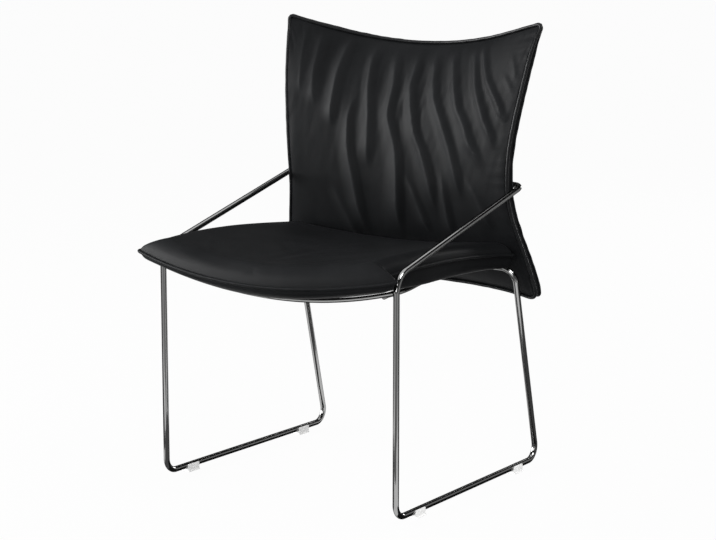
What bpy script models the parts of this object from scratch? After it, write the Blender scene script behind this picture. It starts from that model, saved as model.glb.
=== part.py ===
"""Lounge chair: two black leather pads with flared corners, held in one line of bright steel rod.

Metres, +Z up. The chair faces -Y, stands on the plane Z = 0 and is centred on the Z axis.
Lengths along Y are measured from the front legs, and one empty carries the whole chair to its place.
"""
import math

import bmesh
import bpy
from mathutils import Matrix, Vector

# Frame rod
ROD_DIAMETER = 0.011
LEG_HEIGHT = 0.420            # runner to the corner between front leg and arm
FRONT_SPREAD = 0.513          # between the front legs, centre to centre
RUNNER_TOE = 0.0075           # how far each runner draws in towards the rear foot
ARM_RISE = 0.1095             # front leg corner to the back bar
ARM_RUN = 0.4065              # front leg to the arm's bend behind the back
REAR_BAR_SET = 0.0105         # rear seat bar ahead of that bend
REAR_BAR_DROP = 0.044         # rear seat bar below the front leg's corner
REAR_LEG_RAKE = 0.090         # how far the rear leg's foot stands behind its top
FOOT_BEND = 0.025             # centreline radii of the bends
ARM_BEND = 0.038
REAR_BEND = 0.028
HOOK_BEND = 0.022
HOOK_TAIL = 0.056             # how far the side rods run inward behind their upper and rear bends

# Light rods under the seat
SEAT_ROD_DIAMETER = 0.008
RAIL_INSET = 0.0285           # rail axis to front leg axis, at the front
RAIL_TAPER = 0.043            # how much further in each rail runs under the seat
RAIL_TURN = 0.6               # share of its length over which a rail turns in
RAIL_DIP_FROM = 0.6           # share of its length where a rail starts down to the rear bar
FRONT_BAR_FIT = 0.7           # share of the half width where the bowed front bar meets the seat again

# Floor glides
GLIDE_DROP = 0.006            # under the runner
GLIDE_LENGTH = 0.030
GLIDE_WALL = 0.0022
GLIDE_FOOT_WIDTH = 0.019
GLIDE_GRIP = 0.0015           # height of the clip's lips over the rod's axis
GLIDE_INSET_FRONT = 0.068     # glide centre to front foot
GLIDE_INSET_REAR = 0.080      # glide centre to rear foot

# Leather, seams and clearances
LEATHER = 0.0015
SEAM_GAP = 0.0018             # between the two covers at the seam
WELT_DIAMETER = 0.006         # piping of the front seams
WELT_NEST = 0.0024            # seat piping's axis outside its seam, nested between the two covers
REAR_WELT_DIAMETER = 0.004    # piping of the back pad's rear edge
CLEARANCE = 0.0003            # between hard pieces that touch
SOFT_CLEARANCE = 0.003        # between foam and leather
PLY_CLEARANCE = 0.0010        # between plywood and the leather behind it
REST_CLEARANCE = 0.0015       # between the rods and the pads that rest on them
SIDE_CLEARANCE = 0.0012       # between the arms and the piping beside them

# Both pads
CORNER_ROUND = 0.012          # corner rounding of the seams, share of the half size
EAR_POWER = 1.5               # how sharply the seat's corners flare

# Seat pad
SEAT_EAR = 0.0440             # how far each front corner flares past the arms' side
SEAT_EAR_LENGTH = 0.024       # length of the flare, front to back
SEAT_REAR_EAR = 0.012         # the same flare at the rear corners
SEAT_REAR_EAR_LENGTH = 0.060
SEAT_OVERHANG = 0.072         # front seam ahead of the legs, in the middle
SEAT_CORNER_OVERHANG = 0.037  # the same at the corners
SEAT_REAR_REACH = 0.001       # rear seam behind the rear bar's axis, in the middle
SEAT_REAR_BOW = 0.013         # how much less that is at the corners
SEAT_FRONT_SAG = 0.0305       # seam in the middle of the front, below the front leg's corner
SEAT_REAR_RISE = 0.0175       # seam in the middle of the back, over the rear bar's axis
SEAT_SIDE_HUMP = 0.0260       # rise of the side seam behind the corner
SEAT_SIDE_FALL = 0.0425       # and its fall towards the back
SEAT_CROWN = 0.035            # top leather over the seam, front half
SEAT_CROWN_REAR = 0.017
SEAT_CROWN_SIDE_LOSS = 0.007  # less crown along the sides at the front
SEAT_CROWN_SIDE_GAIN = 0.0095 # more crown along the sides at the back
SEAT_DROP = 0.0275            # underside below the seam, front half
SEAT_DROP_REAR = 0.0095
SEAT_DROP_SIDE_LOSS = 0.003   # less depth along the sides at the front
SEAT_DROP_SIDE_GAIN = 0.0145  # more depth along the sides behind that
SEAT_DROP_SIDE_FROM = 0.42    # share of the seat's length over which the sides deepen
SEAT_TOP_REACH = 0.030        # how far the round edges reach in
SEAT_NOSE_REACH = 0.045
SEAT_SIDE_REACH = 0.010
SEAT_UNDERCUT_REACH = 0.070
SEAT_UNDERCUT_SIDE = 0.030    # the same at the corners
SEAT_BOARD = 0.009            # plywood
SEAT_BOARD_INSET = 0.030

# Back pad
BACK_OVER_BAR = 0.291         # upper corners over the back bar
BACK_TOP_DIP = 0.0455         # how far the top seam dips in the middle
BACK_UNDER_BAR = 0.056        # lower corners below the rear seat bar
BACK_FOOT_RISE = 0.011        # how far the lower seam rises in the middle
BACK_TOP_FLARE = 0.0275       # how far the upper corners flare past the arms' side
BACK_FOOT_FLARE = 0.033       # the same for the lower corners
BACK_AHEAD = 0.0375           # seam ahead of the arms' bends, at its most forward
BACK_LUMBAR_RISE = 0.042      # that most forward point over the back bar
BACK_RAKE_TOP = math.radians(16.2)
BACK_RAKE_FOOT = math.radians(25.0)
BACK_BEND_TOP = 0.125         # softness of the curve between the two rakes
BACK_BEND_FOOT = 0.180
BACK_WRAP = 0.040             # how far the middle lies behind the sides
BACK_WRAP_TOP = 0.069         # the same along the top
BACK_WRAP_FROM = -0.2         # share of the half height where the wrap starts to grow
BACK_CROWN = 0.034
BACK_CROWN_SIDE = 0.8         # powers of the crown's fall to the sides and to the ends
BACK_CROWN_END = 0.6
BACK_BOX = 0.0165             # depth of the pad's border behind the front seam
BACK_BOX_REACH = 0.0028
BACK_BOARD = 0.008            # plywood
BACK_BOARD_INSET = 0.026
FOLD_COUNT = 9                # gathers down the front of the back pad
FOLD_HEIGHT = 0.0065
FOLD_WIDTH = 0.012
FOLD_FIRST = -0.140           # leftmost gather under the top seam, from the middle
FOLD_PITCH = 0.0355
FOLD_FAN = 0.135              # how far the gathers sweep apart towards the foot
FOLD_STILL = 1.5              # the gather that runs straight down, counted from the left
FOLD_DROP = 0.057             # gathers start this far below the upper corners
FOLD_LENGTH = 0.335           # height of the longest of them
FOLD_SHORTER = 0.215          # how much higher the last one ends

# Fixings
TAB_SIZE = 0.024              # seat tabs, square
TAB_THICKNESS = 0.0025
TAB_FRONT_AT = 0.105          # behind the front legs
TAB_REAR_AT = 0.225
SCREW_DIAMETER = 0.005
SCREW_HEAD = 0.0095
SCREW_HEAD_HEIGHT = 0.003
SCREW_BITE = 0.8              # share of a board's thickness that the screws go through
CLAMP_AT = 0.115              # clamps either side of the middle
CLAMP_WIDTH = 0.020
CLAMP_THICKNESS = 0.002
CLAMP_EAR = 0.013
CLAMP_LIFT = 0.0025           # ears over the leather, which is hollow there
BRACKET_AT = 0.075            # brackets either side of the middle
BRACKET_WIDTH = 0.018
BRACKET_THICKNESS = 0.003
BRACKET_DEPTH = 0.026         # how far the bracket's flange hangs below the rear bar

ROD_RADIUS = ROD_DIAMETER / 2
SEAT_ROD_RADIUS = SEAT_ROD_DIAMETER / 2
RUNNER_Z = GLIDE_DROP + ROD_RADIUS
ARM_Z = RUNNER_Z + LEG_HEIGHT
BAR_Z = ARM_Z + ARM_RISE
REAR_SPREAD = FRONT_SPREAD - 2 * RUNNER_TOE
REAR_BAR_Z = ARM_Z - REAR_BAR_DROP
REAR_BAR_Y = ARM_RUN - REAR_BAR_SET
RUNNER_LENGTH = REAR_BAR_Y + REAR_LEG_RAKE
PAD_HALF_WIDTH = FRONT_SPREAD / 2 - ROD_RADIUS - SIDE_CLEARANCE - WELT_DIAMETER - CLEARANCE
SEAT_REAR = REAR_BAR_Y + SEAT_REAR_REACH
SEAT_LENGTH = SEAT_REAR + SEAT_OVERHANG
BACK_TOP_Z = BAR_Z + BACK_OVER_BAR
BACK_FOOT_Z = REAR_BAR_Z - BACK_UNDER_BAR
BACK_HALF_HEIGHT = (BACK_TOP_Z - BACK_FOOT_Z) / 2
LUMBAR_Y = ARM_RUN - BACK_AHEAD
LUMBAR_Z = BAR_Z + BACK_LUMBAR_RISE
FOLD_TOP_Z = BACK_TOP_Z - FOLD_DROP
FOLD_FOOT_Z = FOLD_TOP_Z - FOLD_LENGTH


# Small helpers

def clear_scene():
    for obj in list(bpy.data.objects):
        bpy.data.objects.remove(obj, do_unlink=True)


def make_material(name, colour, roughness, metallic):
    material = bpy.data.materials.new(name)
    material.use_nodes = True
    shader = material.node_tree.nodes["Principled BSDF"]
    shader.inputs["Base Color"].default_value = (*colour, 1.0)
    shader.inputs["Roughness"].default_value = roughness
    shader.inputs["Metallic"].default_value = metallic
    return material


def make_materials():
    return {
        "rod": make_material("bright_rod", (0.55, 0.55, 0.56), 0.12, 1.0),
        "steel": make_material("zinc_steel", (0.60, 0.60, 0.60), 0.35, 1.0),
        "leather": make_material("black_leather", (0.020, 0.021, 0.022), 0.42, 0.0),
        "foam": make_material("foam", (0.80, 0.76, 0.62), 0.9, 0.0),
        "ply": make_material("plywood", (0.62, 0.46, 0.28), 0.6, 0.0),
        "glide": make_material("clear_glide", (0.85, 0.85, 0.84), 0.3, 0.0),
    }


def place(obj, chair, material, frame=None):
    bpy.context.scene.collection.objects.link(obj)
    obj.parent = chair
    obj.data.materials.append(material)
    if frame is not None:
        obj.matrix_local = frame
    return obj


def solid(name, bm, chair, material, frame=None, sharp_degrees=40):
    bmesh.ops.recalc_face_normals(bm, faces=bm.faces)
    if bm.calc_volume(signed=True) < 0:
        bmesh.ops.reverse_faces(bm, faces=bm.faces)
    mesh = bpy.data.meshes.new(name)
    bm.to_mesh(mesh)
    bm.free()
    mesh.shade_smooth()
    mesh.set_sharp_from_angle(angle=math.radians(sharp_degrees))
    return place(bpy.data.objects.new(name, mesh), chair, material, frame)


def cut(obj, cutters):
    for cutter in cutters:
        modifier = obj.modifiers.new("hole_" + cutter.name, "BOOLEAN")
        modifier.operation = "DIFFERENCE"
        modifier.object = cutter


def ease(x):
    x = min(max(x, 0.0), 1.0)
    return x * x * (3 - 2 * x)


def roundover(distance, reach):
    """Quarter ellipse: 0 at the rim, 1 once the distance from it passes the reach."""
    left = 1 - min(max(distance / reach, 0.0), 1.0)
    return math.sqrt(1 - left * left)


def side_name(side):
    return "left" if side < 0 else "right"


# Rods

def bent_path(corners, radii, steps=7):
    """The points of a rod through these corners, with an arc of this radius at each inner corner."""
    path = [corners[0]]
    for before, corner, after, radius in zip(corners, corners[1:], corners[2:], radii):
        into, out = (corner - before).normalized(), (after - corner).normalized()
        turn = into.angle(out)
        start = corner - into * radius * math.tan(turn / 2)
        axis = into.cross(out).normalized()
        centre = start + axis.cross(into) * radius
        for step in range(steps + 1):
            path.append(centre + Matrix.Rotation(turn * step / steps, 3, axis) @ (start - centre))
    path.append(corners[-1])
    return path


def rod(name, path, diameter, chair, material, cyclic=False, resolution=3):
    curve = bpy.data.curves.new(name, "CURVE")
    curve.dimensions = "3D"
    curve.bevel_depth = diameter / 2
    curve.bevel_resolution = resolution
    curve.use_fill_caps = True
    spline = curve.splines.new("POLY")
    spline.points.add(len(path) - 1)
    spline.use_cyclic_u = cyclic
    for point, where in zip(spline.points, path):
        point.co = (*where, 1.0)
    return place(bpy.data.objects.new(name, curve), chair, material)


def bar_bow(x):
    """Axis of the back bar at x: an arc that lies behind the back pad, from hook to hook."""
    middle = back_rear(0, back_share(0, BAR_Z)).y + ROD_RADIUS + REST_CLEARANCE
    return middle + (ARM_RUN - middle) * (x / (FRONT_SPREAD / 2)) ** 2


def side_rod(side, chair, material):
    front, rear = FRONT_SPREAD / 2 * side, REAR_SPREAD / 2 * side
    tail = (FRONT_SPREAD / 2 - HOOK_TAIL) * side
    corners = [
        Vector((tail, REAR_BAR_Y, REAR_BAR_Z)),
        Vector((rear, REAR_BAR_Y, REAR_BAR_Z)),
        Vector((rear, RUNNER_LENGTH, RUNNER_Z)),
        Vector((front, 0, RUNNER_Z)),
        Vector((front, 0, ARM_Z)),
        Vector((front, ARM_RUN, BAR_Z)),
        Vector((tail, bar_bow(tail), BAR_Z)),
    ]
    path = bent_path(corners, [REAR_BEND, FOOT_BEND, FOOT_BEND, ARM_BEND, HOOK_BEND])
    rod(side_name(side) + "_side_rod", path, ROD_DIAMETER, chair, material)


def cross_bars(chair, material):
    """The two rods that close the line behind the back and under the seat, from tail to tail."""
    reach = FRONT_SPREAD / 2 - HOOK_TAIL - CLEARANCE
    steps = 14
    across = [reach * (2 * i / steps - 1) for i in range(steps + 1)]
    rod("back_bar", [Vector((x, bar_bow(x), BAR_Z)) for x in across], ROD_DIAMETER, chair, material)
    ends = [Vector((x, REAR_BAR_Y, REAR_BAR_Z)) for x in (-reach, reach)]
    rod("rear_seat_bar", ends, ROD_DIAMETER, chair, material)


def front_bar_height(x):
    """Axis of the bowed bar between the front legs, which follows the underside of the seat."""
    aside = PAD_HALF_WIDTH * FRONT_BAR_FIT
    middle = seat_under(0, 0).z
    bow = (seat_under(aside, 0).z - middle) / aside ** 2
    return middle + bow * x * x - SEAT_ROD_RADIUS - REST_CLEARANCE


def rail_axis(side, share):
    """A point on a seat rail's axis, from the front bar (0) to the rear bar (1)."""
    start = SEAT_ROD_RADIUS + CLEARANCE
    end = REAR_BAR_Y - ROD_RADIUS - CLEARANCE
    y = start + (end - start) * share
    x = FRONT_SPREAD / 2 - RAIL_INSET - RAIL_TAPER * ease(share / RAIL_TURN)
    z = seat_under(x - SEAT_ROD_DIAMETER, y).z - SEAT_ROD_RADIUS - REST_CLEARANCE
    dip = ease((share - RAIL_DIP_FROM) / (1 - RAIL_DIP_FROM))
    return Vector((x * side, y, z + (REAR_BAR_Z - z) * dip))


def seat_bars(chair, material):
    leg = FRONT_SPREAD / 2 - ROD_RADIUS - CLEARANCE
    slope = 2 * (front_bar_height(leg) - front_bar_height(0)) / leg
    reach = leg - SEAT_ROD_RADIUS * math.sin(math.atan(slope))
    steps = 14
    across = [reach * (2 * i / steps - 1) for i in range(steps + 1)]
    path = [Vector((x, 0, front_bar_height(x))) for x in across]
    rod("front_seat_bar", path, SEAT_ROD_DIAMETER, chair, material, resolution=2)
    for side in (-1, 1):
        path = [rail_axis(side, i / 9) for i in range(10)]
        rod(side_name(side) + "_seat_rail", path, SEAT_ROD_DIAMETER, chair, material, resolution=2)


def glide(name, centre, along, chair, material):
    """A clip that snaps on the runner from below, with a flat foot."""
    inner = ROD_RADIUS + CLEARANCE
    outer = inner + GLIDE_WALL
    lip = math.asin(GLIDE_GRIP / inner)
    arc = [lip - (math.pi + 2 * lip) * i / 10 for i in range(11)]
    profile = [(inner * math.cos(a), inner * math.sin(a)) for a in arc]
    foot, floor = GLIDE_FOOT_WIDTH / 2, -(ROD_RADIUS + GLIDE_DROP)
    step = floor + GLIDE_DROP / 3
    profile += [(-outer, GLIDE_GRIP), (-outer, step), (-foot, step), (-foot, floor)]
    profile += [(foot, floor), (foot, step), (outer, step), (outer, GLIDE_GRIP)]
    bm = bmesh.new()
    face = bm.faces.new([bm.verts.new((x, -GLIDE_LENGTH / 2, z)) for x, z in profile])
    grown = bmesh.ops.extrude_face_region(bm, geom=[face], use_keep_orig=True)
    lifted = [v for v in grown["geom"] if isinstance(v, bmesh.types.BMVert)]
    bmesh.ops.translate(bm, verts=lifted, vec=(0, GLIDE_LENGTH, 0))
    turn = Matrix.Rotation(math.atan2(-along.x, along.y), 4, "Z")
    solid(name, bm, chair, material, Matrix.Translation(centre) @ turn, 30)


def glides(chair, material):
    for side in (-1, 1):
        front = Vector((FRONT_SPREAD / 2 * side, 0, RUNNER_Z))
        rear = Vector((REAR_SPREAD / 2 * side, RUNNER_LENGTH, RUNNER_Z))
        along = (rear - front).normalized()
        name = side_name(side) + "_glide"
        glide("front_" + name, front + along * GLIDE_INSET_FRONT, along, chair, material)
        glide("rear_" + name, rear - along * GLIDE_INSET_REAR, along, chair, material)


# Pads. Each is a square from -1 to 1 both ways, bent onto a seam surface, with layers on its two sides.

def rounded(s, t):
    """The square with its corners drawn in a little, so that the seam turns them smoothly."""
    power = 1 / CORNER_ROUND
    return s * (1 - CORNER_ROUND * abs(t) ** power), t * (1 - CORNER_ROUND * abs(s) ** power)


def seat_half_width(share):
    length = SEAT_REAR - SEAT_REAR_BOW + SEAT_CORNER_OVERHANG
    front = max(1 - share * length / SEAT_EAR_LENGTH, 0.0)
    rear = max(1 - (1 - share) * length / SEAT_REAR_EAR_LENGTH, 0.0)
    return PAD_HALF_WIDTH + SEAT_EAR * front ** EAR_POWER + SEAT_REAR_EAR * rear ** EAR_POWER


def seat_seam(s, t):
    s, t = rounded(s, t)
    share = (t + 1) / 2
    front = -SEAT_OVERHANG + (SEAT_OVERHANG - SEAT_CORNER_OVERHANG) * s * s
    rear = SEAT_REAR - SEAT_REAR_BOW * s * s
    front_z, rear_z = ARM_Z - SEAT_FRONT_SAG, REAR_BAR_Z + SEAT_REAR_RISE
    middle = front_z + (rear_z - front_z) * share
    side = ARM_Z + SEAT_SIDE_HUMP * share - SEAT_SIDE_FALL * share ** 2
    y = front + (rear - front) * share
    return Vector((s * seat_half_width(share), y, middle + (side - middle) * s * s))


def seat_rims(s, t):
    """Distances to the side, front and rear seams."""
    return (1 - abs(s)) * PAD_HALF_WIDTH, (t + 1) / 2 * SEAT_LENGTH, (1 - t) / 2 * SEAT_LENGTH


def seat_crown(s, t):
    side, front, rear = seat_rims(s, t)
    height = SEAT_CROWN + (SEAT_CROWN_REAR - SEAT_CROWN) * ease((t + 1) / 2)
    height += (SEAT_CROWN_SIDE_GAIN * (1 + t) - SEAT_CROWN_SIDE_LOSS * (1 - t)) / 2 * s * s
    ends = roundover(front, SEAT_NOSE_REACH) * roundover(rear, SEAT_TOP_REACH)
    return height * ends * roundover(side, SEAT_TOP_REACH)


def seat_drop(s, t):
    side, front, rear = seat_rims(s, t)
    depth = SEAT_DROP + (SEAT_DROP_REAR - SEAT_DROP) * (t + 1) / 2
    depth -= SEAT_DROP_SIDE_LOSS * s * s * (1 - t) / 2
    depth += SEAT_DROP_SIDE_GAIN * s ** 4 * ease((t + 1) / 2 / SEAT_DROP_SIDE_FROM)
    undercut = SEAT_UNDERCUT_REACH + (SEAT_UNDERCUT_SIDE - SEAT_UNDERCUT_REACH) * s ** 4
    ends = roundover(front, undercut) * roundover(rear, SEAT_SIDE_REACH)
    return depth * ends * roundover(side, SEAT_SIDE_REACH)


def seat_top(s, t):
    return seat_seam(s, t) + Vector((0, 0, SEAM_GAP / 2 + LEATHER + seat_crown(s, t)))


def seat_bottom(s, t):
    return seat_seam(s, t) - Vector((0, 0, SEAM_GAP / 2 + LEATHER + seat_drop(s, t)))


def seat_shares(x, y):
    """The square's s and t at a place on the seat."""
    s, t = x / PAD_HALF_WIDTH, 0.0
    for _ in range(12):
        here = seat_seam(s, t)
        s += (x - here.x) / PAD_HALF_WIDTH
        t += (y - here.y) / SEAT_LENGTH * 2
        s, t = min(max(s, -1), 1), min(max(t, -1), 1)
    return s, t


def seat_under(x, y):
    return seat_bottom(*seat_shares(x, y))


def back_half_width(t):
    """Narrowest between the arms, at the height of the back bar, and flared to the corners."""
    waist = back_share(1, BAR_Z)
    if t > waist:
        flare, share = BACK_TOP_FLARE, (t - waist) / (1 - waist)
    else:
        flare, share = BACK_FOOT_FLARE, (waist - t) / (waist + 1)
    return PAD_HALF_WIDTH + flare * math.sin(share * math.pi / 2) ** 2


def back_profile(z):
    """Side view of the back's seam: two raked lines with a soft bend at the lumbar."""
    rake, bend = BACK_RAKE_FOOT, BACK_BEND_FOOT
    if z > LUMBAR_Z:
        rake, bend = BACK_RAKE_TOP, BACK_BEND_TOP
    return LUMBAR_Y + math.tan(rake) * (math.hypot(z - LUMBAR_Z, bend) - bend)


def back_heights(s):
    """Lower and upper seam at this share of the width."""
    return BACK_FOOT_Z + BACK_FOOT_RISE * (1 - s ** 4), BACK_TOP_Z - BACK_TOP_DIP * (1 - s * s)


def back_seam(s, t):
    s, t = rounded(s, t)
    foot, top = back_heights(s)
    z = foot + (top - foot) * (t + 1) / 2
    wrap = BACK_WRAP + (BACK_WRAP_TOP - BACK_WRAP) * ease((t - BACK_WRAP_FROM) / (1 - BACK_WRAP_FROM))
    return Vector((s * back_half_width(t), back_profile(z) + wrap * (1 - s * s), z))


def back_rims(s, t):
    """Distances to the side seams and to the top or lower seam."""
    return (1 - abs(s)) * PAD_HALF_WIDTH, (1 - abs(t)) * BACK_HALF_HEIGHT


def back_folds(s, t):
    """The gathers: soft ridges that start below the top seam and fan out towards the foot."""
    s, t = rounded(s, t)
    foot, top = back_heights(s)
    x, z = s * back_half_width(t), foot + (top - foot) * (t + 1) / 2
    low = ease((FOLD_TOP_Z - z) / FOLD_LENGTH)
    height = 0.0
    for i in range(FOLD_COUNT):
        aside = (i - FOLD_STILL) / (FOLD_COUNT - 1 - FOLD_STILL)
        centre = FOLD_FIRST + FOLD_PITCH * i + FOLD_FAN * aside * low
        end = FOLD_FOOT_Z + FOLD_SHORTER * aside * aside
        ends = ease((FOLD_TOP_Z - z) / FOLD_PITCH) * ease((z - end) / (2 * FOLD_PITCH))
        height += FOLD_HEIGHT * ends * math.exp(-((x - centre) / FOLD_WIDTH) ** 2)
    return height


def back_crown(s, t):
    return BACK_CROWN * (1 - s * s) ** BACK_CROWN_SIDE * (1 - t ** 4) ** BACK_CROWN_END


def back_box(s, t):
    side, end = back_rims(s, t)
    return BACK_BOX * roundover(side, BACK_BOX_REACH) * roundover(end, BACK_BOX_REACH)


def back_front(s, t):
    return back_seam(s, t) - Vector((0, SEAM_GAP / 2 + LEATHER + back_crown(s, t) + back_folds(s, t), 0))


def back_rear(s, t):
    return back_seam(s, t) + Vector((0, SEAM_GAP / 2 + LEATHER + back_box(s, t), 0))


def back_share(s, z):
    foot, top = back_heights(s)
    return (z - foot) / (top - foot) * 2 - 1


def lines(count, rim, half):
    """Grid lines from -1 to 1: some at these distances from each rim, the rest evenly between them."""
    edge = [1 - d / half for d in rim]
    inner = edge[-1]
    even = [inner - 2 * inner * i / count for i in range(1, count)]
    return sorted([-e for e in edge] + even + edge)


def layer(name, outer, inner, s_lines, t_lines, chair, material):
    """A closed sheet: a flat grid, extruded once and bent onto two surfaces of the pad."""
    bm = bmesh.new()
    columns, rows = len(s_lines) - 1, len(t_lines) - 1
    bmesh.ops.create_grid(bm, x_segments=columns, y_segments=rows, size=1)
    grown = bmesh.ops.extrude_face_region(bm, geom=bm.faces[:], use_keep_orig=True)
    lifted = {v for v in grown["geom"] if isinstance(v, bmesh.types.BMVert)}
    for vert in bm.verts:
        s = s_lines[round((vert.co.x + 1) / 2 * columns)]
        t = t_lines[round((vert.co.y + 1) / 2 * rows)]
        vert.co = inner(s, t) if vert in lifted else outer(s, t)
    return solid(name, bm, chair, material)


def welt(name, edge, offset, diameter, s_lines, t_lines, outward, chair, material):
    """The piping cord round an edge of a pad, with its axis this far outside the edge."""
    ring = [(s, 1) for s in s_lines[:-1]] + [(1, t) for t in reversed(t_lines[1:])]
    ring += [(s, -1) for s in reversed(s_lines[1:])] + [(-1, t) for t in t_lines[:-1]]
    rim = [edge(s, t) for s, t in ring]
    path = []
    for before, here, after in zip(rim[-1:] + rim[:-1], rim, rim[1:] + rim[:1]):
        path.append(here + (after - before).cross(outward).normalized() * offset)
    rod(name, path, diameter, chair, material, cyclic=True, resolution=1)


def inset_share(inset, half):
    return 1 - inset / half


def seat_pad(chair, material):
    half, half_length = PAD_HALF_WIDTH, SEAT_LENGTH / 2
    skin_s, skin_t = inset_share(LEATHER, half), inset_share(LEATHER, half_length)
    core_s, core_t = inset_share(SEAT_BOARD_INSET, half), inset_share(SEAT_BOARD_INSET, half_length)

    def top_lining(s, t):
        return seat_seam(s * skin_s, t * skin_t) + Vector((0, 0, SEAM_GAP / 2 + seat_crown(s, t)))

    def bottom_lining(s, t):
        return seat_seam(s * skin_s, t * skin_t) - Vector((0, 0, SEAM_GAP / 2 + seat_drop(s, t)))

    def board_bottom(s, t):
        s, t = s * core_s, t * core_t
        return seat_seam(s, t) - Vector((0, 0, seat_drop(s, t) - PLY_CLEARANCE))

    def board_top(s, t):
        return board_bottom(s, t) + Vector((0, 0, SEAT_BOARD))

    def foam_bottom(s, t):
        return board_top(s, t) + Vector((0, 0, CLEARANCE))

    def foam_top(s, t):
        s, t = s * core_s, t * core_t
        return seat_seam(s, t) + Vector((0, 0, seat_crown(s / skin_s, t / skin_t) - SOFT_CLEARANCE))

    ear = [0.0, 0.004, 0.010, 0.018, SEAT_EAR_LENGTH]
    s_lines = lines(12, [0, 0.0015, 0.005, 0.012, 0.024], half)
    t_lines = lines(9, ear, half_length)
    leather = material["leather"]
    layer("seat_top_cover", seat_top, top_lining, s_lines, t_lines, chair, leather)
    under = layer("seat_bottom_cover", seat_bottom, bottom_lining, s_lines, t_lines, chair, leather)
    core_lines = lines(14, [0], 1)
    board = layer("seat_board", board_top, board_bottom, core_lines, core_lines, chair, material["ply"])
    layer("seat_foam", foam_top, foam_bottom, core_lines, core_lines, chair, material["foam"])
    below = Vector((0, 0, -1))
    welt("seat_welt", seat_seam, WELT_NEST, WELT_DIAMETER, s_lines, t_lines, below, chair, leather)
    return under, board


def back_pad(chair, material):
    half, half_height = PAD_HALF_WIDTH, BACK_HALF_HEIGHT
    skin_s, skin_t = inset_share(LEATHER, half), inset_share(LEATHER, half_height)
    core_s, core_t = inset_share(BACK_BOARD_INSET, half), inset_share(BACK_BOARD_INSET, half_height)

    def front_lining(s, t):
        depth = SEAM_GAP / 2 + back_crown(s, t) + back_folds(s, t)
        return back_seam(s * skin_s, t * skin_t) - Vector((0, depth, 0))

    def rear_lining(s, t):
        return back_seam(s * skin_s, t * skin_t) + Vector((0, SEAM_GAP / 2 + back_box(s, t), 0))

    def board_rear(s, t):
        s, t = s * core_s, t * core_t
        return back_seam(s, t) + Vector((0, back_box(s, t) - PLY_CLEARANCE, 0))

    def board_front(s, t):
        return board_rear(s, t) - Vector((0, BACK_BOARD, 0))

    def foam_rear(s, t):
        return board_front(s, t) - Vector((0, CLEARANCE, 0))

    def foam_front(s, t):
        s, t = s * core_s, t * core_t
        return back_seam(s, t) - Vector((0, back_crown(s / skin_s, t / skin_t) - SOFT_CLEARANCE, 0))

    s_lines = lines(40, [0, 0.003, 0.010, 0.020], half)
    t_lines = lines(9, [0, 0.012], half_height)
    leather = material["leather"]
    front = layer("back_front_cover", back_front, front_lining, s_lines, t_lines, chair, leather)
    box = [0, BACK_BOX_REACH * 0.1, BACK_BOX_REACH * 0.4, BACK_BOX_REACH]
    rear_s = lines(10, box, half)
    rear_t = lines(10, box, half_height)
    rear = layer("back_rear_cover", back_rear, rear_lining, rear_s, rear_t, chair, leather)
    core_lines = lines(10, [0], 1)
    board = layer("back_board", board_front, board_rear, core_lines, core_lines, chair, material["ply"])
    foam = layer("back_foam", foam_front, foam_rear, core_lines, core_lines, chair, material["foam"])
    welt_s, welt_t = lines(14, [0, 0.003, 0.010], half), lines(12, [0, 0.003, 0.010], half_height)
    behind = Vector((0, 1, 0))
    beside = WELT_DIAMETER / 2 + CLEARANCE
    welt("back_front_welt", back_seam, beside, WELT_DIAMETER, welt_s, welt_t, behind, chair, leather)

    def rear_edge(s, t):
        return back_seam(s, t) + behind * (SEAM_GAP / 2 + LEATHER + BACK_BOX - REAR_WELT_DIAMETER / 2)

    beside = REAR_WELT_DIAMETER / 2 + CLEARANCE
    welt("back_rear_welt", rear_edge, beside, REAR_WELT_DIAMETER, welt_s, welt_t, behind, chair, leather)
    return front, foam, board, rear


# Fixings. A fixing's frame has its Z axis pointing out of the pad and its origin on the pad's leather.

def frame_at(origin, x, z):
    """A frame with its X axis along x and its Z axis as near to z as that allows."""
    y = z.cross(x).normalized()
    frame = Matrix((x.normalized(), y, x.cross(y).normalized())).transposed().to_4x4()
    frame.translation = origin
    return frame


def surface_frame(surface, s, t, away):
    """A frame on a pad's surface: Z along the normal on the given side, X across the chair."""
    step = 0.01
    across = surface(s + step, t) - surface(s - step, t)
    along = surface(s, t + step) - surface(s, t - step)
    normal = across.cross(along)
    return frame_at(surface(s, t), across, normal if normal.dot(away) > 0 else -normal)


def turned(profile, segments=8):
    """A closed turned shape from its profile, which starts and ends on the axis."""
    bm = bmesh.new()
    verts = [bm.verts.new((x, 0, z)) for x, z in profile]
    edges = [bm.edges.new(pair) for pair in zip(verts, verts[1:])]
    bmesh.ops.spin(bm, geom=verts + edges, cent=(0, 0, 0), axis=(0, 0, 1), angle=2 * math.pi,
                   steps=segments, use_merge=True)
    bmesh.ops.remove_doubles(bm, verts=bm.verts, dist=1e-6)
    return bm


def screw(name, frame, stand, length, chair, material):
    """A pan-head screw whose head seats at this height over the leather."""
    shank, head = SCREW_DIAMETER / 2, SCREW_HEAD / 2
    seat, top = stand + CLEARANCE, stand + CLEARANCE + SCREW_HEAD_HEIGHT
    profile = [(0, stand - length), (shank, stand - length), (shank, seat), (head, seat)]
    profile += [(head, top - SCREW_HEAD_HEIGHT / 3), (head * 0.7, top), (0, top)]
    solid(name, turned(profile), chair, material, frame)


def drill(name, frame, stand, length, chair, material):
    """The cutter for a screw's hole, a little longer than the screw at both ends."""
    hole = SCREW_DIAMETER / 2 + CLEARANCE
    low, high = stand - length - SCREW_HEAD_HEIGHT, stand + SCREW_HEAD_HEIGHT
    profile = [(0, low), (hole, low), (hole, high), (0, high)]
    cutter = solid(name, turned(profile), chair, material, frame)
    cutter.hide_render = True
    cutter.display_type = "WIRE"
    return cutter


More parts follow.
